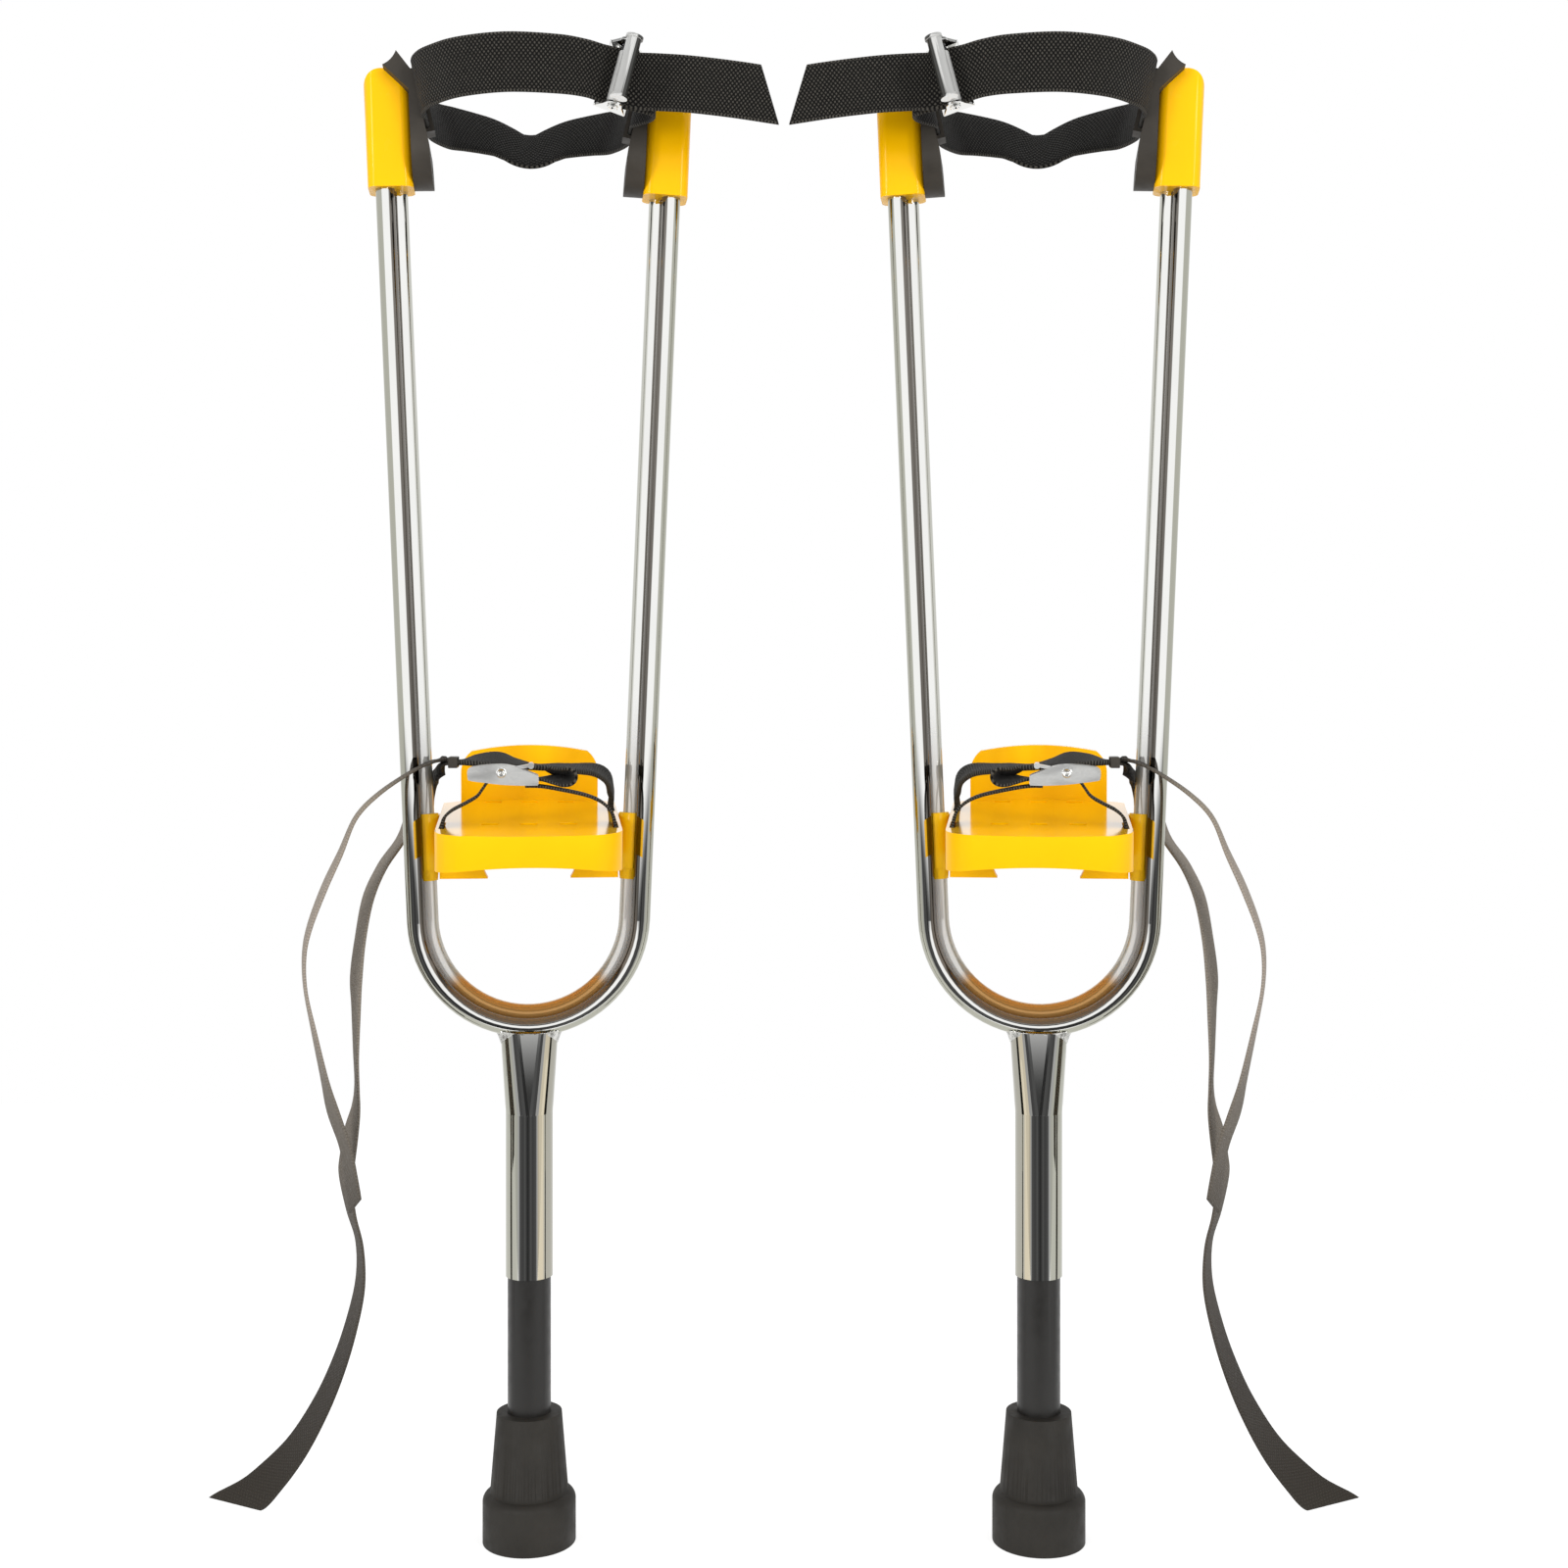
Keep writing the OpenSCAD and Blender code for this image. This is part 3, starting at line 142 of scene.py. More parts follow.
# Materials: a small set of helpers for node trees
class Shade:
    def __init__(self, name, tree=None):
        if tree is None:
            self.mat = bpy.data.materials.new(name)
            self.mat.use_nodes = True
            tree = self.mat.node_tree
            self.bsdf = tree.nodes["Principled BSDF"]
        self.tree = tree

    def node(self, kind, **props):
        made = self.tree.nodes.new(kind)
        for key, value in props.items():
            setattr(made, key, value)
        return made

    def feed(self, socket, value):
        if isinstance(value, bpy.types.NodeSocket):
            self.tree.links.new(value, socket)
        else:
            socket.default_value = value

    def math(self, op, a, b=0.0):
        made = self.node("ShaderNodeMath", operation=op)
        self.feed(made.inputs[0], a)
        self.feed(made.inputs[1], b)
        return made.outputs[0]

    def coords(self, stretch):
        where = self.node("ShaderNodeTexCoord")
        mapping = self.node("ShaderNodeMapping")
        self.feed(mapping.inputs["Vector"], where.outputs["Object"])
        mapping.inputs["Scale"].default_value = stretch
        return mapping.outputs[0]

    def noise(self, scale, detail, stretch=(1, 1, 1)):
        made = self.node("ShaderNodeTexNoise")
        self.feed(made.inputs["Vector"], self.coords(stretch))
        made.inputs["Scale"].default_value = scale
        made.inputs["Detail"].default_value = detail
        return made.outputs["Fac"]

    def split(self, vector):
        made = self.node("ShaderNodeSeparateXYZ")
        self.feed(made.inputs[0], vector)
        return made.outputs

    def ramp(self, fac, stops):
        made = self.node("ShaderNodeValToRGB")
        self.feed(made.inputs["Fac"], fac)
        while len(made.color_ramp.elements) < len(stops):
            made.color_ramp.elements.new(0.5)
        for element, (at, color) in zip(made.color_ramp.elements, stops):
            element.position = at
            grey = (color, color, color) if isinstance(color, (int, float)) else tuple(color)
            element.color = grey + (1.0,)
        return made.outputs["Color"]

    def mix(self, fac, a, b):
        made = self.node("ShaderNodeMix", data_type="RGBA")
        self.feed(made.inputs["Factor"], fac)
        for socket, value in ((made.inputs[6], a), (made.inputs[7], b)):
            if isinstance(value, tuple):
                socket.default_value = value + (1.0,)
            else:
                self.feed(socket, value)
        return made.outputs[2]

    def step(self, value, low, high):
        made = self.node("ShaderNodeMapRange", interpolation_type="SMOOTHSTEP")
        self.feed(made.inputs["Value"], value)
        made.inputs["From Min"].default_value = low
        made.inputs["From Max"].default_value = high
        return made.outputs[0]

    def bump(self, height, strength, distance, under=None):
        made = self.node("ShaderNodeBump")
        self.feed(made.inputs["Height"], height)
        made.inputs["Strength"].default_value = strength
        made.inputs["Distance"].default_value = distance
        if under is not None:
            self.feed(made.inputs["Normal"], under)
        return made.outputs["Normal"]

    def set(self, **values):
        for key, value in values.items():
            self.feed(self.bsdf.inputs[key.replace("_", " ")], value)


def chrome(name, side=None, part=None):
    """Bright plating; on the frame and the knee lever its tone follows the way that the surface faces.
    These are painted reflections: painted dark and grey bands and, low on the bows, a painted amber
    reflection of the footplate.
    """
    s = Shade(name)
    tone = s.ramp(s.noise(14, 2), [(0.3, (0.86, 0.86, 0.84)), (0.7, (0.91, 0.91, 0.89))])
    mirror = 1.0
    if part:
        hand = 1 if side == "left" else -1
        where = s.node("ShaderNodeTexCoord")
        face_x, face_y, face_z = s.split(where.outputs["Normal"])
        turned = s.math("MULTIPLY", face_y, hand * math.sin(TOE_IN))
        turned = s.math("ADD", s.math("MULTIPLY", face_x, math.cos(TOE_IN)), turned)
    if part in ("lever", "sleeve"):
        right = s.math("MULTIPLY", turned, float(hand))
    if part in ("outer", "inner"):
        # Inward is towards the middle of the bow, and low is 1 at its bottom and 0 up the legs
        x, _, z = s.split(where.outputs["Object"])
        across = s.math("SUBTRACT", -hand * STANCE / 2000, x)
        up = s.math("MAXIMUM", s.math("SUBTRACT", BOW_Z / 1000, z), 0.0)
        reach = s.math("ADD", s.math("MULTIPLY", across, across), s.math("MULTIPLY", up, up))
        reach = s.math("SQRT", reach)
        inward = s.math("ADD", s.math("MULTIPLY", across, turned), s.math("MULTIPLY", up, face_z))
        inward = s.math("DIVIDE", inward, reach)
        low = s.math("DIVIDE", up, reach)
    if part == "outer":
        # Painted reflections on the outer tube: a grey outer third, a painted dark inward third whose tone
        # goes by height, and less mirror at the bow's bottom, where that painted dark tone shows
        shade = s.ramp(z, [
            (0.28, (0.24, 0.2, 0.16)), (0.35, (0.105, 0.095, 0.083)), (0.7, (0.2, 0.185, 0.165))])
        tone = s.mix(s.step(inward, -0.28, -0.36), tone, (0.42, 0.42, 0.36))
        tone = s.mix(s.step(inward, 0.36, 0.46), tone, shade)
        painted_bottom_mask = s.math("MULTIPLY", s.step(low, 0.5, 0.8), s.step(inward, 0.3, 0.45))
        mirror = s.ramp(painted_bottom_mask, [(0.0, 1.0), (1.0, 0.3)])
    if part == "inner":
        # Painted reflections on the inner tube: a grey inward side and, at the bow's bottom, a painted
        # amber reflection of the footplate, with less mirror below 0.4 m so that it shows
        tone = s.mix(s.step(inward, 0.48, 0.62), tone, (0.55, 0.55, 0.5))
        tone = s.mix(s.step(low, 0.58, 0.72), tone, (0.66, 0.36, 0.11))
        mirror = s.ramp(s.step(z, 0.4, 0.46), [(0.0, 0.3), (1.0, 1.0)])
    if part == "lever":
        # Painted reflection on the knee lever: its right side is painted dark, and it has little mirror
        tone = s.mix(s.step(right, 0.2, 0.42), tone, (0.05, 0.05, 0.045))
        mirror = 0.25
    if part == "sleeve":
        # Painted reflections on the sleeve: grey, pale and darker bands by the way it faces
        tone = s.mix(s.step(right, -0.4, -0.52), tone, (0.4, 0.4, 0.345))
        tone = s.mix(s.step(right, 0.3, 0.38), tone, (0.58, 0.52, 0.39))
        tone = s.mix(s.step(right, 0.55, 0.65), tone, (0.37, 0.36, 0.31))
    s.set(Metallic=mirror, Base_Color=tone)
    s.set(Roughness=s.ramp(s.noise(60, 4), [(0.35, 0.02), (0.75, 0.05)]))
    return s.mat


def weld_metal():
    s = Shade("weld_metal")
    grain = s.noise(420, 3)
    s.set(Metallic=1.0, Base_Color=s.ramp(grain, [(0.3, (0.3, 0.3, 0.28)), (0.7, (0.75, 0.75, 0.72))]))
    s.set(Roughness=s.ramp(s.noise(240, 3), [(0.3, 0.15), (0.7, 0.35)]))
    s.set(Normal=s.bump(s.noise(520, 3), 0.35, 0.0006))
    return s.mat


def plastic(name, light, dark, rough, gloss=0.2, coat=0.0, top_polish=False):
    """Moulded plastic; with top_polish only the level faces are glossy."""
    s = Shade(name)
    cloud = s.noise(28, 4)
    s.set(Base_Color=s.mix(s.ramp(cloud, [(0.35, 0.0), (0.65, 1.0)]), light, dark))
    s.set(Roughness=s.ramp(s.noise(120, 4), [(0.3, rough - 0.04), (0.7, rough + 0.05)]))
    s.set(IOR=1.47, Specular_IOR_Level=gloss, Coat_Weight=coat, Coat_Roughness=0.15)
    if top_polish:
        facing = s.split(s.node("ShaderNodeTexCoord").outputs["Normal"])
        level = s.step(facing[2], 0.9, 0.97)
        s.set(Roughness=s.ramp(level, [(0.0, 0.34), (1.0, 0.13)]), Coat_Roughness=0.1)
        s.set(Specular_IOR_Level=s.ramp(level, [(0.0, 0.15), (1.0, 0.5)]))
        s.set(Coat_Weight=s.math("MULTIPLY", level, 0.8))
    fine = s.bump(s.noise(1100, 2), 0.03, 0.0002)
    s.set(Normal=s.bump(s.noise(32, 2), 0.04, 0.001, fine))
    return s.mat


def rubber(name, tone, rough, grain):
    s = Shade(name)
    cloud = s.noise(38, 5)
    low = tuple(0.8 * t for t in tone)
    high = tuple(1.3 * t for t in tone)
    s.set(Base_Color=s.mix(s.ramp(cloud, [(0.3, 0.0), (0.75, 1.0)]), low, high))
    s.set(Roughness=s.ramp(s.noise(150, 4), [(0.3, rough - 0.08), (0.7, rough + 0.08)]))
    s.set(Specular_IOR_Level=0.25)
    normal = s.bump(s.noise(grain, 3), 0.12, 0.0004)
    s.set(Normal=s.bump(s.noise(70, 2), 0.08, 0.001, normal))
    return s.mat


def black_paint():
    s = Shade("black_paint")
    cloud = s.noise(60, 4)
    rub = s.noise(420, 2, (1, 1, 0.02))
    worn = s.ramp(rub, [(0.62, 0.0), (0.78, 1.0)])
    tone = s.mix(cloud, (0.0085, 0.0078, 0.0068), (0.0145, 0.0134, 0.012))
    s.set(Base_Color=s.mix(s.math("MULTIPLY", worn, 0.3), tone, (0.06, 0.058, 0.055)))
    s.set(Roughness=s.ramp(s.noise(200, 4), [(0.3, 0.3), (0.7, 0.44)]), Specular_IOR_Level=0.4)
    s.set(Normal=s.bump(s.noise(700, 2), 0.06, 0.0003))
    return s.mat


def steel(name, tone, rough):
    s = Shade(name)
    cloud = s.noise(90, 3)
    grain = s.noise(700, 3)
    drawn = s.ramp(s.noise(38, 1, (1, 1, 3)), [(0.38, 0.0), (0.6, 1.0)])
    low = tuple(0.62 * t for t in tone)
    s.set(Metallic=1.0, Base_Color=s.mix(s.math("ADD", s.math("MULTIPLY", cloud, 0.3), drawn), low, tone))
    s.set(Roughness=s.ramp(grain, [(0.3, rough * 0.8), (0.7, rough * 1.3)]))
    s.set(Normal=s.bump(grain, 0.03, 0.0002))
    return s.mat


def webbing(name, pitch, width, light=1.0, painted_light=None):
    """Woven strap: pebbled twill in the run of the strap and corded edges, from its own map; a loose end
    can get painted light by height.
    """
    s = Shade(name)
    uv = s.node("ShaderNodeUVMap", uv_map="weave")
    along, across, _ = s.split(uv.outputs["UV"])
    k = math.pi / pitch
    steep = s.math("MULTIPLY", across, 0.8)
    rise = s.math("SINE", s.math("MULTIPLY", s.math("ADD", along, steep), k))
    fall = s.math("SINE", s.math("MULTIPLY", s.math("SUBTRACT", along, steep), k))
    pebble = s.math("POWER", s.math("ABSOLUTE", s.math("MULTIPLY", rise, fall)), 0.9)
    yarn = s.math("SINE", s.math("MULTIPLY", across, 2 * math.pi / (pitch * 0.34)))
    yarn = s.math("ADD", s.math("MULTIPLY", yarn, 0.08), pebble)
    edge = s.math("GREATER_THAN", s.math("ABSOLUTE", across), width / 2000 - 0.0013)
    cord = s.math("ABSOLUTE", s.math("SINE", s.math("MULTIPLY", along, k * 1.2)))
    height = s.mix(edge, yarn, cord)
    fuzz = s.noise(700, 3)
    # Painted light and shade on the weave: its tops are painted lighter and its hollows darker
    lit = s.math("MULTIPLY", height, s.math("ADD", s.math("MULTIPLY", fuzz, 0.8), 0.5))
    tones = ((0.0015, 0.0014, 0.0012), (0.013, 0.0118, 0.01), (0.08, 0.074, 0.063))
    stops = [(at, tuple(light * t for t in tone)) for at, tone in zip((0.12, 0.45, 0.95), tones)]
    tone = s.ramp(lit, stops)
    # Painted light: a loose end is painted paler where it hangs in the light, with its tones given by
    # height in metres
    if painted_light:
        height_at = s.split(s.node("ShaderNodeTexCoord").outputs["Object"])[2]
        tone = s.mix(0.85, tone, s.ramp(height_at, painted_light))
    s.set(Base_Color=tone)
    s.set(Roughness=s.ramp(fuzz, [(0.3, 0.6), (0.7, 0.85)]))
    s.set(Specular_IOR_Level=0.1, Sheen_Weight=0.06, Sheen_Roughness=0.5)
    s.set(Normal=s.bump(height, 0.8, 0.0005))
    return s.mat


YELLOW = plastic("yellow_plastic", (0.97, 0.515, 0.0), (0.96, 0.495, 0.0), 0.24, 0.1, 0.15)
PLATE = plastic("plate_plastic", (0.96, 0.51, 0.0), (0.95, 0.49, 0.0), 0.14, top_polish=True)
AMBER = plastic("amber_plastic", (0.8, 0.47, 0.004), (0.76, 0.43, 0.003), 0.24)
CHROME = chrome("chrome")
PLATED = {}
for side in SIDES:
    for part, node in (("outer", "outer_frame_tube"), ("inner", "inner_frame_tube"),
                       ("sleeve", "leg_sleeve"), ("lever", "knee_buckle_lever")):
        PLATED[f"{side}_{node}"] = chrome(f"{side}_{part}_chrome", side, part)
    for node in ("knee_buckle_frame", "knee_buckle_pin"):
        PLATED[f"{side}_{node}"] = CHROME
WELD = weld_metal()
TIP_RUBBER = rubber("tip_rubber", (0.02, 0.0178, 0.0145), 0.62, 600)
PAD_RUBBER = rubber("pad_rubber", (0.042, 0.036, 0.029), 0.5, 900)
PAINT = black_paint()
BUCKLE = steel("buckle_zinc", (0.86, 0.86, 0.84), 0.2)
SCREW = steel("screw_zinc", (0.8, 0.79, 0.77), 0.26)
PLAIN = steel("plain_steel", (0.5, 0.5, 0.5), 0.35)
WIRE = steel("spring_wire", (0.45, 0.45, 0.46), 0.3)
KNEE_WEB = webbing("knee_webbing", 0.0022, KNEE_WIDTH, 0.95)
# The knee strap's inside faces are painted darker: painted shade
KNEE_INSIDE_PAINTED_SHADE = webbing("knee_webbing_inside_painted_shade", 0.0022, KNEE_WIDTH, 0.4)
FOOT_WEB = webbing("foot_webbing", 0.0017, FOOT_WIDTH)
# Loose ends with painted light: paler by height where they hang in the light
TAIL_WEB = {
    "front": webbing("front_tail_webbing", 0.002, FOOT_WIDTH, painted_light=[
        (0.19, (0.1, 0.086, 0.07)), (0.25, (0.2, 0.175, 0.145)), (0.29, (0.36, 0.31, 0.26)),
        (0.36, (0.36, 0.31, 0.26)), (0.4, (0.3, 0.255, 0.2)), (0.42, (0.05, 0.043, 0.036))]),
    "rear": webbing("rear_tail_webbing", 0.002, FOOT_WIDTH, painted_light=[
        (0.04, (0.036, 0.031, 0.025)), (0.1, (0.05, 0.043, 0.036)), (0.17, (0.09, 0.077, 0.063)),
        (0.26, (0.26, 0.227, 0.188)), (0.38, (0.26, 0.227, 0.188)), (0.41, (0.03, 0.026, 0.022))])}

# Each node takes its slot's material, apart from the plating and the polished footplates
BY_SLOT = {
    "chromed_tube": CHROME, "plain_steel": PLAIN, "spring_steel": WIRE,
    "black_painted_steel": PAINT, "black_rubber": TIP_RUBBER, "yellow_plastic": YELLOW,
    "amber_plastic": AMBER, "black_pad": PAD_RUBBER, "black_webbing": FOOT_WEB,
    "buckle_steel": BUCKLE, "screw_steel": SCREW}
for sub in frame["record"]["subparts"]:
    mat = PLATE if sub["node"].endswith("footplate") else BY_SLOT[sub["material_slot"]]
    mat = PLATED.get(sub["node"], mat)
    for slot in frame["nodes"][sub["node"]].material_slots:
        slot.material = mat

# Moulded and stamped solids get softened edges, by these widths in metres
SOFT_EDGE = {
    "outside_cap": 0.0012, "inside_cap": 0.0012, "footplate": 0.0009, "plate_clips": 0.0006,
    "strap_keeper": 0.0006, "rubber_tip": 0.0009,
    "knee_buckle_frame": 0.0003, "knee_buckle_lever": 0.0004, "knee_buckle_pin": 0.0004,
    "toe_buckle_frame": 0.0003, "toe_buckle_lever": 0.0003, "toe_buckle_pin": 0.0004}
SAME_POINT = 0.00001
FLAT_ANGLE = math.radians(0.6)
EDGE_ANGLE = math.radians(40)


def soften(obj, size):
    weld = obj.modifiers.new("join", "WELD")
    weld.merge_threshold = SAME_POINT
    merge = obj.modifiers.new("flat_faces", "DECIMATE")
    merge.decimate_type = "DISSOLVE"
    merge.angle_limit = FLAT_ANGLE
    round_off = obj.modifiers.new("soft_edge", "BEVEL")
    round_off.width = size
    round_off.segments = 3
    round_off.limit_method = "ANGLE"
    round_off.angle_limit = EDGE_ANGLE
    round_off.harden_normals = True


for side in SIDES:
    for name, size in SOFT_EDGE.items():
        soften(frame["nodes"][f"{side}_{name}"], size)

# Routes of the straps, as in the solids: x, y, z in millimetres and the turn of the width
KNEE = [
    (49.7, -52.3, 773.4, 0), (57.5, -50.4, 772.4, 0), (63.2, -47, 772, 0), (65, -42.5, 771.8, 1),
    (63.8, -36, 771.8, 4), (59.6, -28, 772.2, 8), (57.1, -20, 773, 12), (57.3, -8, 773.5, 13),
    (57.3, 8, 773.5, 13), (56.2, 20, 773, 14), (48.4, 40, 773.2, 22), (38.8, 48.6, 773.8, 25),
    (29, 54.5, 773.6, 28), (20, 58, 772.4, 31), (12, 59.6, 769.4, 34), (6, 60, 766.6, 37),
    (0, 60.1, 765.6, 38), (-6, 60, 766.6, 37), (-12, 59.6, 769.4, 34), (-20, 58, 772.4, 31),
    (-29, 54.5, 773.6, 28), (-38.8, 48.6, 773.8, 25), (-48.4, 40, 773.2, 22),
    (-56.2, 20, 773, 14), (-57.3, 8, 773.5, 13), (-57.3, -8, 773.5, 13), (-57.3, -19, 773.9, 12),
    (-58, -25, 774.3, 12), (-55.8, -33, 775, 11), (-50.5, -41.5, 775.5, 10), (-36, -55, 776.2, 8),
    (-12, -65, 776.6, 6), (14, -66, 776.3, 3), (28, -62.2, 776, 0), (37.5, -58.7, 774.7, 0),
    (45.7, -56.9, 773.6, 0), (55, -54.9, 772.4, 0), (66, -53, 772.9, 0), (80, -51.2, 773.2, 0),
    (94, -50.2, 772.6, 0), (109, -49.7, 771.4, 0), (125, -49.6, 769.6, 0)]
TOE = [
    (-2, TOE_Y, 408.1, 90), (6, TOE_Y, 407.9, 90), (17, TOE_Y, 406, 90), (30, TOE_Y, 403, 90),
    (38, TOE_Y, 399.3, 90), (43, TOE_Y, 394, 90), (SLOT_X, TOE_Y, 387.5, 90),
    (SLOT_X, TOE_Y, 381, 90), (41, TOE_Y, 376.5, 90), (20, TOE_Y, 376, 90),
    (-20, TOE_Y, 376, 90), (-41, TOE_Y, 376.5, 90), (-SLOT_X, TOE_Y, 381, 90),
    (-SLOT_X, TOE_Y, 387.5, 90), (1.2 - SLOT_X, TOE_Y, 392, 90), (5.2 - SLOT_X, TOE_Y, 395.7, 90),
    (-33, TOE_Y, 399.2, 90), (-27, TOE_Y, 402.8, 90), (-23.8, TOE_Y, 407, 90),
    (-21.2, TOE_Y, 410.4, 90), (-17, TOE_Y, 411.7, 90),
    (-6, TOE_Y, 411.7, 90), (5, TOE_Y, 411.7, 90), (12, TOE_Y, 411.4, 100),
    (17.5, TOE_Y, 411, 107), (20.8, TOE_Y, 411.6, 108), (22, TOE_Y, 413.2, 106),
    (20.6, TOE_Y, 414.9, 104), (17.5, TOE_Y, 415.2, 102), (13, TOE_Y, 415.8, 100),
    (9.5, TOE_Y, 417.2, 98)]
INSTEP = [
    (SLOT_X, INSTEP_Y, 384, 90), (SLOT_X, INSTEP_Y, 394, 90), (45.2, 28, 402, 86),
    (42, 23, 410, 76), (33, 14, 414.5, 82), (20, 5, 416, 84), (6, -3, 417, 90),
    (-6, -7, 419, 82), (-16, -9, 421, 70), (-27, -10, 421, 78), (-35, -10, 420, 90),
    (-40, -10, 420, 90)]
FRONT_TAIL = [
    (-40, -10, 420.8, 90), (-44.5, -10, 420.8, 90), (-49, -12, 420.5, 90), (-54.5, -18, 418.6, 90),
    (-62, -22, 415, 88), (-78, -23, 404, 86), (-90, -22, 391.5, 84), (-98, -21, 373, 81),
    (-106.5, -20, 354.5, 79), (-114, -19, 334.5, 80), (-117, -18, 319.5, 81),
    (-116.5, -17, 301, 81), (-112, -17, 278.5, 78), (-106.5, -17, 253.5, 74),
    (-102, -17, 236, 66), (-96, -17, 218, 67), (-93, -17, 202, 66), (-91, -16, 186.5, 64)]
# The rear loose end gives the direction of its width instead of a turn, and how far it is spread
REAR_TAIL = [
    (-40, -10, 419.2, 0, 1, 0, 1), (-43.2, -10, 419.2, 0, 1, 0, 1),
    (-45.4, -9.2, 418.3, -0.4, 0.8, 0, 0.7), (-47.4, -5.5, 414.6, 0.3, 0.6, 0.75, 0.65),
    (-48.6, 1.5, 413.5, 0.1, 0.2, 1, 0.55),
    (-50.4, 9, 411, 0, 0.35, 0.95, 0.55), (-53.5, 17, 406, -0.25, 0.45, 0.85, 0.7),
    (-58, 24.5, 398.5, -0.6, 0.4, 0.7, 0.85), (-63.5, 26, 388, -0.35, 0.75, 0.4, 1),
    (-70, 25, 376.5, -0.13, 0.95, 0.2, 1), (-79.5, 18.5, 362.5, -0.17, 0.94, 0.17, 1),
    (-86.5, 13, 346, -0.3, 0.95, 0.1, 1), (-90.5, 10, 324, -0.32, 0.95, 0.05, 1),
    (-92.5, 8, 304, -0.36, 0.93, 0, 1), (-92.5, 7, 287, -0.28, 0.96, 0, 1),
    (-92.5, 7, 262.5, -0.18, 0.98, 0, 1), (-92, 7, 245.5, -0.16, 0.98, 0, 1),
    (-92.5, 7, 233.5, -0.25, 0.96, 0.05, 1), (-95, 7, 220.5, -0.4, 0.9, 0.1, 1),
    (-97, 7, 207, -0.45, 0.9, 0.05, 1), (-98, 7, 196.5, -0.4, 0.9, 0, 1),
    (-95, 6, 178, -0.3, 0.95, -0.05, 1), (-90.5, 5, 161, -0.25, 0.97, -0.03, 1),
    (-90, 4, 140.5, -0.28, 0.96, 0.03, 1), (-94.5, 3, 118.5, -0.32, 0.94, 0.07, 1),
    (-101.5, 2, 96.5, -0.36, 0.92, 0.14, 1), (-111, 1, 75, -0.4, 0.88, 0.22, 1),
    (-124.5, 0, 53, -0.48, 0.78, 0.34, 1), (-141.5, 0, 35, -0.5, 0.5, 0.65, 1),
    (-155, 0, 26.5, -0.5, 0.25, 0.8, 1)]


def smooth_rows(route):
    """More rows on one smooth curve through the rows of a route."""
    p = np.array(route, dtype=float)
    last = len(p) - 1
    rows = []
    for i in range(last):
        a = p[max(i - 1, 0)]
        b = p[i]
        c = p[i + 1]
        d = p[min(i + 2, last)]
        for k in range(SMOOTH_STEPS):
            t = k / SMOOTH_STEPS
            bend = (2 * a - 5 * b + 4 * c - d) + t * (3 * (b - c) + d - a)
            rows.append(b + t / 2 * ((c - a) + t * bend))
    rows.append(p[last])
    return np.array(rows)


def strap_section(width, thick):
    """Points round a strap's section: one rounded edge, the outside, the other edge, the inside."""
    r = thick / 2
    points = []
    for start, way in ((-90, 1), (90, -1)):
        for i in range(5):
            a = math.radians(start + 45 * i)
            points.append((way * (width / 2 - r) + r * math.cos(a), r * math.sin(a)))
        for f in (0.3, 0.0, -0.3):
            points.append((way * f * width, way * r))
    return points


def width_direction(row, run, upright):
    """The way that a strap's width points at one row of its route, and how far it is spread."""
    if len(row) == 7:
        return row[3:6], row[6]
    turn = math.radians(row[3])
    if upright:
        out = np.array([row[0], row[1], 0.0])
        out /= np.linalg.norm(out)
        return np.array([0, 0, math.cos(turn)]) + out * math.sin(turn), 1.0
    flat = np.array([run[2], 0.0, -run[0]])
    size = np.linalg.norm(flat)
    if size > 1e-6:
        flat /= size
    return flat * math.cos(turn) + np.array([0, math.sin(turn), 0]), 1.0


def ring_faces(rings, n, closed=False):
    """Four-sided faces between neighbouring rings of n points."""
    faces = []
    for i in range(rings if closed else rings - 1):
        after = (i + 1) % rings
        for j in range(n):
            k = (j + 1) % n
            faces.append((i * n + j, i * n + k, after * n + k, after * n + j))
    return faces


def strap_piece(name, side, route, width, thick, mat, upright=False, slant=0.0):
    """A flat woven strap with rounded edges and a slanted end, mapped along and across in metres."""
    rows = smooth_rows(route)
    count = len(rows)
    spots = rows[:, :3]
    runs = np.gradient(spots, axis=0)
    runs /= np.linalg.norm(runs, axis=1)[:, None]
    gone = np.concatenate([[0], np.cumsum(np.linalg.norm(np.diff(spots, axis=0), axis=1))])
    section = strap_section(width, thick)
    verts = []
    uvs = []
    for row, spot, run, far in zip(rows, spots, runs, gone):
        wide, spread = width_direction(row, run, upright)
        wide = wide - run * np.dot(wide, run)
        wide /= np.linalg.norm(wide)
        face = np.cross(run, wide)
        near_end = min(max((far - (gone[-1] - SLANT_REACH)) / SLANT_REACH, 0), 1)
        for c, d in section:
            ahead = slant / width * c * near_end
            verts.append(spot + wide * c * spread + face * d + run * ahead)
            uvs.append(((far + ahead) / 1000, c / 1000))
    n = len(section)
    faces = [tuple(reversed(range(n)))] + ring_faces(count, n)
    faces.append(tuple(range((count - 1) * n, count * n)))
    piece = mesh_piece(name, side, verts, faces, mat, f"{side}_stilt", uvs)
    return piece, place(side, spots), gone[-1] / 1000


